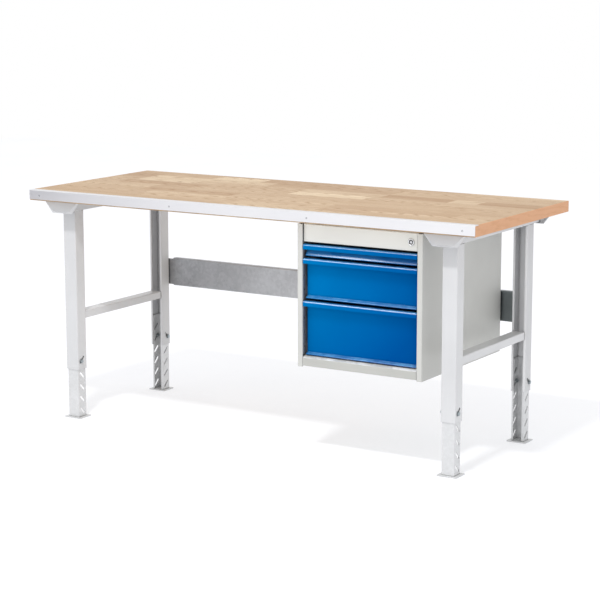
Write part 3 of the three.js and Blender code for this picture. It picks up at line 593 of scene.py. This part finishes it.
oak = wood_finish("oiled_oak", (0.39, 0.232, 0.116), (0.8, 0.645, 0.44), 0.0058, 0.6, 0.85)
banding = wood_finish("end_banding", (0.7, 0.37, 0.2), (0.82, 0.46, 0.26), 0.004, 0.12, 0.3)
print("woods:", oak.name, banding.name)

# %% [markdown]
# ## Kept CAD parts
# The frames, legs, rails, cabinet sheets and drawer slides have the right shape in CAD, so there is
# no need to make them again, and their meshes stay as they are. A Weld modifier joins the split
# corners, a planar Decimate joins the triangles of each flat face, and a narrow Bevel breaks the
# edges, so the rims catch light as folded steel does.

# %% Edges for kept parts
SAME_CORNER = 0.005 * MM
FLAT_WITHIN = math.radians(1)
CAD_EDGE_ABOVE = 40


def break_edges(piece, width, steepest=None, segments=2):
    """Rounds a piece's edges. With an angle, only the edges that turn more than that."""
    rim = piece.modifiers.new("broken_edges", "BEVEL")
    rim.width = width
    rim.segments = segments
    if steepest:
        rim.limit_method = "ANGLE"
        rim.angle_limit = math.radians(steepest)
    return rim


def keep(names, material, edge=0.5 * MM):
    """Gives CAD nodes a finish and broken edges. The CAD mesh itself isn't touched."""
    for name in names:
        piece = nodes[name]
        piece.data.materials.clear()
        piece.data.materials.append(material)
        piece.modifiers.new("join_corners", "WELD").merge_threshold = SAME_CORNER
        flats = piece.modifiers.new("join_flats", "DECIMATE")
        flats.decimate_type = "DISSOLVE"
        flats.angle_limit = FLAT_WITHIN
        break_edges(piece, edge, CAD_EDGE_ABOVE).use_clamp_overlap = True


def named(*starts):
    """The CAD nodes whose names start in one of these ways."""
    return sorted(n for n in nodes if n.startswith(starts))


print("helpers for kept parts are ready")

# %% Finishes for kept parts
keep(named("top_beam", "cross_rail", "outer_leg"), frame_paint)
keep(named("inner_leg", "foot_plate"), leg_zinc)
keep(["rear_rail"] + named("cabinet_hanger"), rail_zinc)
keep(named("runner_rack"), rack_zinc, 0.3 * MM)
keep(named("cabinet_left", "cabinet_right", "cabinet_top", "cabinet_back", "lock_fascia"),
     cabinet_paint)
keep(["cabinet_bottom"], sill_paint)
keep(["front_edge_strip"], strip_steel)
keep(named("leg_bolt"), bolt_zinc, 0.4 * MM)
keep(["lock_bar"] + [n for n in nodes if "drawer_rail" in n or "drawer_carrier" in n],
     zinc_plate, 0.2 * MM)
keep([n for n in nodes if n.endswith("drawer_tray")], tray_paint, 0.4 * MM)
print("kept CAD parts:", sum(bool(n.modifiers) for n in nodes.values()))

# %% [markdown]
# ## Mesh helpers
# New pieces are built from flat outlines that are pushed along an axis, or from profiles that are
# turned round an axis. Faces that meet at a shallow angle are shaded smooth and the others stay
# sharp. Slots and notches are cut with a block, and the result is kept as plain mesh.

# %% From a bmesh to a piece
SMOOTH_BELOW = math.radians(35)


def place_mesh(name, shape):
    """Puts a bmesh in the scene as an object."""
    mesh = bpy.data.meshes.new(name)
    shape.to_mesh(mesh)
    shape.free()
    piece = bpy.data.objects.new(name, mesh)
    bpy.context.scene.collection.objects.link(piece)
    return piece


def finish_mesh(name, shape, body, material, stands_for=()):
    """Turns a bmesh into a piece that rides on a body and stands for CAD nodes."""
    bmesh.ops.recalc_face_normals(shape, faces=shape.faces)
    for face in shape.faces:
        face.smooth = True
    for edge in shape.edges:
        edge.smooth = len(edge.link_faces) == 2 and edge.calc_face_angle(0.0) < SMOOTH_BELOW
    piece = place_mesh(name, shape)
    piece.data.materials.append(material)
    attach(piece, body)
    if stands_for:
        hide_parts(*stands_for)
    return piece


print("a bmesh can be finished")

# %% Pushed and turned shapes
NO_RADIUS = 1e-7


def push_along_x(shape, outline, start, end):
    """Adds a solid whose outline in (y, z) runs from start to end along X. Returns its verts."""
    rings = [[shape.verts.new((x, y, z)) for y, z in outline] for x in (start, end)]
    count = len(outline)
    for i in range(count):
        j = (i + 1) % count
        shape.faces.new((rings[0][i], rings[0][j], rings[1][j], rings[1][i]))
    shape.faces.new(rings[0][::-1])
    shape.faces.new(rings[1])
    return rings[0] + rings[1]


def turn_profile(shape, profile, centre, axis, steps):
    """Adds a turned solid. The profile is (distance from the axis, place along it)."""
    side = axis.orthogonal().normalized()
    other = axis.cross(side)
    rings = []
    for radius, along in profile:
        if radius < NO_RADIUS:
            rings.append([shape.verts.new(centre + axis * along)])
            continue
        ring = []
        for k in range(steps):
            angle = 2 * math.pi * k / steps
            out = side * math.cos(angle) + other * math.sin(angle)
            ring.append(shape.verts.new(centre + axis * along + out * radius))
        rings.append(ring)
    for near, far in zip(rings, rings[1:]):
        for k in range(steps):
            corners = [near[k % len(near)], near[(k + 1) % len(near)],
                       far[(k + 1) % len(far)], far[k % len(far)]]
            shape.faces.new(list(dict.fromkeys(corners)))


print("shapes can be pushed and turned")

# %% Cuts
def cut_with(piece, cutter):
    """Cuts one mesh with another and keeps the result as plain mesh."""
    step = piece.modifiers.new("cut", "BOOLEAN")
    step.object = cutter
    step.operation = "DIFFERENCE"
    step.solver = "EXACT"
    bpy.context.view_layer.update()
    seen = piece.evaluated_get(bpy.context.evaluated_depsgraph_get())
    made = bpy.data.meshes.new_from_object(seen)
    piece.modifiers.clear()
    piece.data = made
    bpy.data.objects.remove(cutter)


def cutting_block(centre, half_sizes, turn=0.0):
    """A block that is used as a cutter. It can be turned about Y."""
    shape = bmesh.new()
    bmesh.ops.create_cube(shape, size=2.0)
    place = Matrix.Translation(centre) @ Matrix.Rotation(turn, 4, "Y")
    matrix = place @ Matrix.Diagonal((*half_sizes, 1.0))
    bmesh.ops.transform(shape, matrix=matrix, verts=shape.verts)
    return place_mesh("cutter", shape)


print("blocks can cut pieces")

# %% [markdown]
# ## Oak staves
# Staves about 88 mm wide lie in rows along the bench, and their ends are staggered from row to row.
# They could be drawn as a texture on one board, but then the joints would have no depth. Here each
# stave is its own block with broken edges, so the joints catch light, and each one gets wood
# coordinates from another part of a tree and a tone of its own. The rows are listed from the rear:
# each entry is a stave's length in millimetres and its tone from -2, dark, to 2, light.

# %% Stave layout
STAVE_ROWS = [
    (31, [(420, 0), (610, -1), (560, 0), (406, 1)]),
    (87.5, [(162, -1), (262, 0), (238, 2), (660, -1), (674, 0)]),
    (87.5, [(150, -1), (600, 1), (575, -1), (671, 0)]),
    (87.5, [(150, 0), (288, 1), (512, 0), (375, 0.5), (300, -1.6), (125, 1), (246, -1.8)]),
    (87.5, [(125, 0), (412, -1), (425, 0), (338, 2), (325, 0), (371, 0.3)]),
    (87.5, [(350, 0.4), (175, -0.6), (765, 0), (422, -0.3), (284, -0.6)]),
    (87.5, [(362, 0.2), (438, -1), (500, 0.2), (440, 0), (256, -0.4)]),
    (87.5, [(438, -0.3), (375, 0.5), (487, 0), (537, -0.7), (159, -0.2)]),
    (87.5, [(475, -0.3), (450, 0), (375, 0.5), (200, -0.6), (496, 0)]),
    (None, [(520, 0), (380, -0.4), (610, 0.3), (486, -0.2)]),
]
BAND = 2 * MM
STRIP_GAP = 0.3 * MM
REBATE_DEPTH = 2.3 * MM

board_low, board_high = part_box("worktop_board")
strip_low, strip_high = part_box("front_edge_strip")
print("board in millimetres:", [round(v / MM, 1) for v in board_high - board_low])

# %% [markdown]
# Every stave gets its place in an imaginary tree by chance, and the seed keeps it the same each
# time. Where the tree's middle line lies close under the stave, the saw cuts arches. Where it lies
# deeper and to one side, the lines run straight. A slope makes the arches close along the stave.

# %% One stave
GLUE_GAP = 0.05 * MM
ARCH_SHARE = 0.4
ARCHED = ((-0.02, 0.02), (0.015, 0.035))
STRAIGHT = ((0.03, 0.09), (0.05, 0.12))
SLOPE = (0.04, 0.1)
TREE_LENGTH = 40
MIDDLE_TONE, LIGHT_STEP, DARK_STEP = 0.345, 0.23, 0.14


def wood_layers(shape):
    """The two attributes that the wood finishes read."""
    return shape.verts.layers.float_vector.new("wood_place"), shape.verts.layers.float.new("tone")


def stave_outline(back, front, last):
    """A stave's cross-section. The front row has a rebate for the steel strip's flange."""
    low, high = board_low.z, board_high.z
    if not last:
        return [(front, low), (back, low), (back, high), (front, high)]
    rebate = strip_high.y + STRIP_GAP
    ledge = high - REBATE_DEPTH
    return [(board_low.y, low), (back, low), (back, high), (rebate, high), (rebate, ledge),
            (board_low.y + MM, ledge), (board_low.y, ledge - MM)]


def lay_stave(shape, layers, left, right, outline, middle, tone):
    """Adds one stave and writes its wood coordinates and tone."""
    place_layer, tone_layer = layers
    verts = push_along_x(shape, outline, left + GLUE_GAP, right - GLUE_GAP)
    aside, below = ARCHED if random.random() < ARCH_SHARE else STRAIGHT
    pith = random.uniform(*aside)
    depth = random.uniform(*below)
    slope = random.uniform(*SLOPE) * random.choice((-1, 1))
    along = random.uniform(0, TREE_LENGTH)
    for vert in verts:
        x, y, z = vert.co
        rise = depth + slope * (x - left) if slope > 0 else depth - slope * (right - x)
        vert[place_layer] = (x + along, y - middle - pith, z - board_high.z + rise)
        vert[tone_layer] = MIDDLE_TONE + (LIGHT_STEP if tone > 0 else DARK_STEP) * tone


print("a stave can be laid")

# %% Build the staves
random.seed(11)
shape = bmesh.new()
layers = wood_layers(shape)
back = board_high.y
stave_count = 0
for width, staves in STAVE_ROWS:
    last = width is None
    front = board_low.y if last else back - width * MM
    scale = (board_high.x - board_low.x - 2 * BAND) / sum(length for length, _ in staves)
    outline = stave_outline(back - GLUE_GAP, front + GLUE_GAP, last)
    left = board_low.x + BAND
    for length, tone in staves:
        right = left + length * scale
        lay_stave(shape, layers, left, right, outline, (front + back) / 2, tone)
        left = right
        stave_count += 1
    back = front
oak_top = finish_mesh("oak_staves", shape, "bench", oak, ["worktop_board"])
break_edges(oak_top, 0.3 * MM)
print("staves:", stave_count)

# %% [markdown]
# The worktop's two ends are closed by a solid band, 2 mm thick, with its long edges rounded by hand
# sanding. It could be a second material on the staves' end faces, but then it would have no joint
# line. A band is a plain strip whose grain runs from front to rear, so its wood coordinates are
# turned by a quarter.

# %% End bands
TREE_ASIDE = 0.8
TREE_BELOW = 0.05
TREE_SLOPE = 0.03
BANDS_APART = 3


def end_band(name, start, end):
    """A band from one X to another, with the strip's rebate at its front corner."""
    shape = bmesh.new()
    place_layer, tone_layer = wood_layers(shape)
    low, high = board_low.z, board_high.z
    rebate, ledge = strip_high.y + STRIP_GAP, high - REBATE_DEPTH
    outline = [(board_low.y, low), (board_high.y, low), (board_high.y, high), (rebate, high),
               (rebate, ledge), (board_low.y, ledge)]
    verts = push_along_x(shape, outline, start, end)
    for vert in verts:
        x, y, z = vert.co
        below = x + TREE_BELOW + TREE_SLOPE * y
        vert[place_layer] = (y + BANDS_APART * start, z - TREE_ASIDE, below)
        vert[tone_layer] = 0.5
    band = finish_mesh(name, shape, "bench", banding)
    break_edges(band, 0.6 * MM, segments=3)


end_band("end_band_left", board_low.x, board_low.x + BAND)
end_band("end_band_right", board_high.x - BAND, board_high.x)
print("end bands: 2")

# %% [markdown]
# ## Drawer fronts
# Each front is one folded sheet: a hem under the handle, a rounded nose that the fingers pull, a
# recessed panel and a lip that slopes out at the bottom. The CAD fronts have the same path with few
# steps in the bends. Here the middle line is rounded again with many steps and given the sheet's
# thickness, so the highlight on the nose runs evenly.

# %% Rounded path
def rounded_path(points, bend, steps):
    """Rounds the corners of an open path of (y, z). A third number is a corner's own radius."""
    path = []
    for i, point in enumerate(points):
        corner = Vector(point[:2])
        if i in (0, len(points) - 1):
            path.append(corner)
            continue
        back = (Vector(points[i - 1][:2]) - corner).normalized()
        ahead = (Vector(points[i + 1][:2]) - corner).normalized()
        half = math.acos(max(-1.0, min(1.0, back.dot(ahead)))) / 2
        radius = point[2] if len(point) > 2 else bend
        centre = corner + (back + ahead).normalized() * radius / math.sin(half)
        start = corner + back * radius / math.tan(half) - centre
        turn = math.pi - 2 * half
        if ahead.cross(back) < 0:
            turn = -turn
        for k in range(steps + 1):
            spoke = Matrix.Rotation(turn * k / steps, 2) @ start
            path.append(centre + spoke)
    return path


print("a path can be rounded")

# %% Sheet thickness
MITRE_LIMIT = 0.2


def sheet_outline(points, thickness, bend, steps=10):
    """The closed outline of a folded sheet whose middle line follows the points."""
    path = rounded_path(points, bend, steps)
    sides = ([], [])
    for i, point in enumerate(path):
        before, after = path[max(i - 1, 0)], path[min(i + 1, len(path) - 1)]
        inward = (point - before).normalized() if i else (after - point).normalized()
        onward = (after - point).normalized() if i < len(path) - 1 else inward
        along = (inward + onward).normalized()
        offset = thickness / 2 / max(along.dot(onward), MITRE_LIMIT)
        for side, sign in zip(sides, (1, -1)):
            side.append(tuple(point + Vector((-along.y, along.x)) * offset * sign))
    return sides[0] + sides[1][::-1]


print("sheet outline helper is ready")

# %% [markdown]
# The three fronts differ only in height and in how tall the sloping lip is. Below the handle the
# panel is cut back a little at both sides, which leaves the dark gaps beside it.

# %% Build the three fronts
FRONT_SHEET = 1.5 * MM
HANDLE_HEIGHT = 20 * MM
HANDLE_HEM = 5 * MM
HANDLE_RADIUS = 7 * MM
LIP_DEPTH = 15 * MM
LIP_HEIGHTS = {"bottom": 10 * MM, "middle": 10 * MM, "top": 22 * MM}
FRONT_BEND = 1.2 * MM
PANEL_INSET = 6 * MM
NOTCH_GAP = 0.1 * MM

for drawer, lip_height in LIP_HEIGHTS.items():
    low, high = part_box(f"{drawer}_drawer_front")
    middle = FRONT_SHEET / 2
    nose, panel = low.y + middle, high.y - middle
    hem = high.z - HANDLE_HEIGHT + middle
    foot = low.z + middle
    path = [
        (nose + HANDLE_HEM, hem), (nose, hem), (nose, high.z - middle, HANDLE_RADIUS),
        (panel, high.z - middle), (panel, low.z + lip_height),
        (panel - LIP_DEPTH, foot), (panel, foot),
    ]
    shape = bmesh.new()
    push_along_x(shape, sheet_outline(path, FRONT_SHEET, FRONT_BEND), low.x, high.x)
    piece = finish_mesh(f"{drawer}_front_panel", shape, f"{drawer}_drawer",
                        drawer_paint, [f"{drawer}_drawer_front"])
    notch_top = high.z - HANDLE_HEIGHT - NOTCH_GAP
    notch_middle = (low.z - MM + notch_top) / 2
    notch_size = (PANEL_INSET, high.y - low.y, notch_top - notch_middle)
    for end in (low.x, high.x):
        centre = Vector((end, (low.y + high.y) / 2, notch_middle))
        cut_with(piece, cutting_block(centre, notch_size))
    break_edges(piece, 0.3 * MM, 50)
    print(piece.name, "height in millimetres:", round((high.z - low.z) / MM, 1))

# %% [markdown]
# ## Lock
# A cam lock sits in the fascia: a chromed collar with a rolled rim, and inside it a barrel that the
# key turns. Both are turned parts, so a profile is spun round the lock's axis. The key slot is cut
# with a boolean, as the real one is broached.

# %% Lock collar
BARREL = 8 * MM
BORE = BARREL + 0.3 * MM
COLLAR_LENGTH = 24.7 * MM
FLANGE = 2.7 * MM
INTO = Vector((0, 1, 0))

housing_low, housing_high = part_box("lock_housing")
lock_middle = (housing_low + housing_high) / 2
lock_face = Vector((lock_middle.x, housing_low.y, lock_middle.z))
rim = (housing_high.x - housing_low.x) / 2
shape = bmesh.new()
collar = [
    (BORE, COLLAR_LENGTH), (BORE, 2.4 * MM), (BARREL + 0.9 * MM, 0.9 * MM),
    (BARREL + 1.4 * MM, 0.3 * MM), (BARREL + 2.0 * MM, 0.05 * MM), (BARREL + 2.5 * MM, 0.0),
    (rim - 1.2 * MM, 0.05 * MM), (rim - 0.5 * MM, 0.35 * MM), (rim - 0.1 * MM, 0.9 * MM),
    (rim, 1.6 * MM), (rim, FLANGE), (BARREL + MM, FLANGE), (BARREL + MM, COLLAR_LENGTH),
    (BORE, COLLAR_LENGTH),
]
turn_profile(shape, collar, lock_face, INTO, 64)
bmesh.ops.remove_doubles(shape, verts=shape.verts, dist=1e-6)
finish_mesh("lock_collar", shape, "bench", lock_chrome, ["lock_housing"])
print("lock rim in millimetres:", round(2 * rim / MM, 1))

# %% [markdown]
# The plug ends in a crank with a pin. The pin stands in the lock bar's window and lifts the bar
# when the key is turned. The crank is hidden in the cabinet, so a block and a turned pin are
# enough.

# %% Lock plug with its crank
CRANK = 8.5 * MM
CRANK_END = 4 * MM
CRANK_THICKNESS = 3 * MM
CRANK_WIDTH = 9 * MM
CRANK_TO_PIN_END = 5.5 * MM
PIN = 2 * MM
NOSE = 5.2 * MM
KEY_SLOT = (1.1 * MM, 5 * MM, 3.4 * MM)

barrel_low, barrel_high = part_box("lock_barrel")
barrel_face = Vector((lock_middle.x, barrel_low.y, lock_middle.z))
plug_length = barrel_high.y - CRANK_TO_PIN_END - barrel_low.y
shape = bmesh.new()
plug = [
    (0.0, 1.2 * MM), (4.4 * MM, 1.2 * MM), (5.0 * MM, 1.5 * MM), (NOSE, 2.2 * MM), (NOSE, 6 * MM),
    (BARREL, 6.2 * MM), (BARREL, plug_length), (0.0, plug_length),
]
turn_profile(shape, plug, barrel_face, INTO, 64)
crank_middle = barrel_face + INTO * (plug_length - CRANK_THICKNESS / 2)
swing = Matrix.Translation(crank_middle) @ Matrix.Rotation(math.radians(-45), 4, "Y")
crank_size = Matrix.Diagonal((CRANK + CRANK_END, CRANK_THICKNESS, CRANK_WIDTH, 1.0))
shift = Matrix.Translation((-(CRANK + CRANK_END) / 2, 0, 0))
crank = bmesh.ops.create_cube(shape, size=1.0)["verts"]
bmesh.ops.transform(shape, matrix=swing @ shift @ crank_size, verts=crank)
pin_start = swing @ Vector((-CRANK, 0, 0))
pin_length = barrel_high.y - pin_start.y
pin = [(0.0, 0.0), (PIN, 0.0), (PIN, pin_length), (0.0, pin_length)]
turn_profile(shape, pin, pin_start, INTO, 24)
plug_piece = finish_mesh("lock_plug", shape, "lock_barrel", lock_chrome, ["lock_barrel"])
cut_with(plug_piece, cutting_block(barrel_face, KEY_SLOT))
print("lock plug faces:", len(plug_piece.data.polygons))

# %% [markdown]
# ## Screws
# The strip is held by four countersunk screws with a cross recess. A dark spot on the strip would
# pass from afar, but not close up. So each is a turned head, slightly domed, and two crossed blades
# cut the recess.

# %% Cross head screws
STRIP_SCREWS = (-0.95, -0.31, 0.31, 0.95)
SCREW_Z = 0.921
SCREW_RADIUS = 4.2 * MM
SCREW_LENGTH = 6.6 * MM
BLADE_DEPTH = 1.8 * MM


def cross_screw(name, centre, into, radius, body):
    """A countersunk screw head with a cross recess. It faces against the direction into."""
    shape = bmesh.new()
    shank = radius * 0.45
    profile = [(0.0, 0.0), (radius * 0.6, 0.02 * MM), (radius * 0.92, 0.12 * MM),
               (radius, 0.35 * MM), (shank, 2.4 * MM), (shank, 6 * MM), (0.0, SCREW_LENGTH)]
    turn_profile(shape, profile, centre, into, 32)
    screw = finish_mesh(name, shape, body, screw_zinc)
    for turn in (math.radians(35), math.radians(125)):
        cut_with(screw, cutting_block(centre, (radius * 0.7, BLADE_DEPTH, radius * 0.18), turn))


for number, x in enumerate(STRIP_SCREWS, 1):
    centre = Vector((x, strip_low.y - 0.1 * MM, SCREW_Z))
    cross_screw(f"strip_screw_{number}", centre, INTO, SCREW_RADIUS, "bench")
print("strip screws:", len(STRIP_SCREWS))

# %% [markdown]
# The rear rail is screwed to the rear legs' webs from inside, with two low hexagon heads at each
# end. A head is a turned profile with only six steps, on a round washer.

# %% Rail bolts
HEAD_HEIGHT = 4 * MM
WASHER = 1.3 * MM
WASHER_OVERLAP = 0.1 * MM
ACROSS_FLATS = 11 * MM
BOLT_FROM_EDGE = 13 * MM
BOLT_ASIDE = 8 * MM
LEG_SHEET = 2 * MM


def hexagon_bolt(name, centre, into, across, body):
    """A hexagon head on a washer. It faces against the direction into."""
    shape = bmesh.new()
    radius = across / math.sqrt(3)
    head = [(0.0, 0.0), (radius * 0.9, 0.0), (radius, 0.5 * MM), (radius, HEAD_HEIGHT),
            (0.0, HEAD_HEIGHT)]
    top = HEAD_HEIGHT - WASHER_OVERLAP
    washer = [(0.0, top), (radius * 1.25, top), (radius * 1.25, top + WASHER), (0.0, top + WASHER)]
    turn_profile(shape, head, centre, into, 6)
    turn_profile(shape, washer, centre, into, 32)
    return finish_mesh(name, shape, body, screw_zinc)


rail_low, rail_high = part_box("rear_rail")
bolt_heights = {"upper": rail_high.z - BOLT_FROM_EDGE, "lower": rail_low.z + BOLT_FROM_EDGE}
for end in ("left", "right"):
    leg_low, leg_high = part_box(f"outer_leg_rear_{end}")
    x = (leg_low.x + leg_high.x) / 2 + BOLT_ASIDE
    y = leg_high.y - LEG_SHEET - HEAD_HEIGHT - WASHER
    for label, z in bolt_heights.items():
        hexagon_bolt(f"rail_bolt_{end}_{label}", Vector((x, y, z)), INTO, ACROSS_FLATS, "bench")
print("rail bolts: 4")

# %% [markdown]
# ## Floor
# The bench stands on a plain white floor in an evenly lit studio. A floor that only reflects light
# would need very strong lamps to look white. This one also glows a little by itself, as a
# lit-through studio floor does, so shadows on it stay pale.

# %% Floor
FLOOR_HALF_SIDE = 9.0

shape = bmesh.new()
bmesh.ops.create_grid(shape, x_segments=8, y_segments=8, size=FLOOR_HALF_SIDE)
floor = place_mesh("studio_floor", shape)
floor.location.z = -0.2 * MM
floor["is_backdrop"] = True
floor_paint, tree = blank_material("studio_floor")
mottle = full_range(tree, clouds(tree, object_place(tree), 2.0, 4.0))
tone = blend(tree, mottle, (0.45, 0.455, 0.475), (0.47, 0.472, 0.485))
matt = put(tree, "BsdfDiffuse", {"Color": tone})
glow = put(tree, "Emission", {"Color": (0.985, 0.988, 1.0, 1.0), "Strength": 0.57})
both = put(tree, "AddShader", {0: matt.outputs[0], 1: glow.outputs[0]})
put(tree, "OutputMaterial", {"Surface": both.outputs[0]})
floor.data.materials.append(floor_paint)
print("floor side in metres:", 2 * FLOOR_HALF_SIDE)

# %% [markdown]
# Polished metal shows what stands around it. A grey flag to the left of the camera gives the steel
# strip its soft darkening towards the left end. The camera doesn't see the flag, and it takes no
# light from anything else.

# %% Grey flag for reflections
FLAG_LEFT, FLAG_RIGHT = -5.5, -2.5
FLAG_Y = -2.5
FLAG_HEIGHT = 1.8

shape = bmesh.new()
corners = [(FLAG_LEFT, 0), (FLAG_RIGHT, 0), (FLAG_RIGHT, FLAG_HEIGHT), (FLAG_LEFT, FLAG_HEIGHT)]
shape.faces.new([shape.verts.new((x, FLAG_Y, z)) for x, z in corners])
flag = place_mesh("grey_flag", shape)
flag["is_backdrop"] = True
flag_cloth, tree = blank_material("grey_flag")
folds = clouds(tree, object_place(tree), 3.0)
cloth = blend(tree, folds, (0.15, 0.145, 0.18), (0.22, 0.215, 0.25))
put(tree, "OutputMaterial", {"Surface": put(tree, "Emission", {"Color": cloth}).outputs[0]})
flag.data.materials.append(flag_cloth)
flag.visible_camera = False
flag.visible_diffuse = False
flag.visible_shadow = False
print("flag width in metres:", FLAG_RIGHT - FLAG_LEFT)

# %% [markdown]
# ## Lamps
# One small lamp high in front casts the worktop's shadow on the legs. The cabinet has softer lamps
# of its own, one from above and one from the left for the fascia. A lamp far to the right lights
# the sides of the frames, and one near the floor lights the rear right leg. The last lamp is seen
# only by gloss and draws the bright line on the drawer handles.

# %% Lamps
def lamp(name, place, aim_at, width, height, power):
    """A rectangular soft lamp."""
    light = bpy.data.lights.new(name, "AREA")
    light.shape = "RECTANGLE"
    light.size, light.size_y = width, height
    light.energy = power
    holder = bpy.data.objects.new(name, light)
    holder.location = place
    holder.rotation_mode = "QUATERNION"
    holder.rotation_quaternion = (Vector(aim_at) - Vector(place)).to_track_quat("-Z", "Y")
    bpy.context.scene.collection.objects.link(holder)
    return holder


key = lamp("key_lamp", (0.9, -4.0, 6.9), (0, 0, 0.5), 0.7, 0.4, 262)
cabinet_lamp = lamp("cabinet_lamp", (-0.4, -2.7, 5.6), (0.5, -0.3, 0.6), 1.6, 1.2, 111)
fascia_lamp = lamp("fascia_lamp", (-3.4, -2.0, 1.8), (0.3, -0.3, 0.85), 1.6, 1.2, 92)
side_lamp = lamp("side_lamp", (9.0, -2.2, 3.0), (0, 0, 0.5), 1.5, 1.5, 95)
leg_lamp = lamp("rear_leg_lamp", (1.2, -5.0, 1.0), (0.86, 0.3, 0.5), 1.0, 1.0, 105)
gloss_lamp = lamp("gloss_lamp", (-2.0, -2.5, 4.0), (0.5, -0.3, 0.6), 1.8, 2.6, 150)
gloss_lamp.visible_diffuse = False

# %% [markdown]
# In a studio, flags keep a lamp's light off some parts of an object. Blender's light linking does
# the same: a collection on a lamp lists what it lights, and another lists what may cast a shadow.
# Where the link state is EXCLUDE, the list says what is left out instead. Here the key lamp leaves
# out the cabinet, and the worktop casts no shadow in the light of the two cabinet lamps.

# %% Which lamp lights what
CABINET_WORDS = ("cabinet", "lock", "bottom", "middle", "top_drawer", "top_front")
WORKTOP_WORDS = ("oak", "end_band", "front_edge", "strip")


def light_set(name, pieces, left_out=False):
    """A collection for light linking."""
    group = bpy.data.collections.new(name)
    for piece in pieces:
        group.objects.link(piece)
    if left_out:
        for link in group.collection_objects:
            link.light_linking.link_state = "EXCLUDE"
    return group


cabinet = [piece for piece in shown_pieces() if piece.name.startswith(CABINET_WORDS)]
worktop = [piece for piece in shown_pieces() if piece.name.startswith(WORKTOP_WORDS)]
frames = named("top_beam", "cross_rail", "outer_leg_front", "outer_leg_rear_left")
cabinet_only = light_set("only_the_cabinet", cabinet)
no_worktop = light_set("no_shadow_from_the_worktop", worktop, True)
fascia_only = light_set("only_the_fascia", [nodes["lock_fascia"]])
links = {
    key: light_set("all_but_the_cabinet", cabinet, True),
    cabinet_lamp: cabinet_only,
    gloss_lamp: cabinet_only,
    fascia_lamp: fascia_only,
    side_lamp: light_set("only_the_frames", [nodes[name] for name in frames]),
    leg_lamp: light_set("only_the_rear_right_leg", [nodes["outer_leg_rear_right"]]),
}
for holder, lit in links.items():
    holder.light_linking.receiver_collection = lit
for holder in (cabinet_lamp, fascia_lamp):
    holder.light_linking.blocker_collection = no_worktop
print("pieces lit as the cabinet:", len(cabinet), "and pieces of the worktop:", len(worktop))

# %% [markdown]
# ## Surroundings
# The studio's bright walls fill the shadows and are what the metal reflects. They are a little
# darker near the floor and to the right. Behind the bench the camera sees plain white.

# %% Surroundings
world = bpy.data.worlds.new("studio")
bpy.context.scene.world = world
world.use_nodes = True
tree = world.node_tree
tree.nodes.clear()
direction = put(tree, "TexCoord").outputs["Generated"]
height = spread(tree, along_axis(tree, direction, "Z"), -0.1, 0.8, 0.0, 1.0)
sky = blend(tree, height, (0.72, 0.73, 0.76), (1.0, 1.0, 1.0))
right = spread(tree, along_axis(tree, direction, "X"), 0.1, 1.0, 1.0, 0.8)
dimmed = put(tree, "VectorMath", {0: sky, "Scale": right}, operation="SCALE").outputs[0]
seen = put(tree, "LightPath").outputs["Is Camera Ray"]
colour = blend(tree, seen, dimmed, (1.0, 1.0, 1.0))
back_light = put(tree, "Background", {"Color": colour, "Strength": 1.0})
put(tree, "OutputWorld", {"Surface": back_light.outputs[0]})
print("surroundings:", world.name)
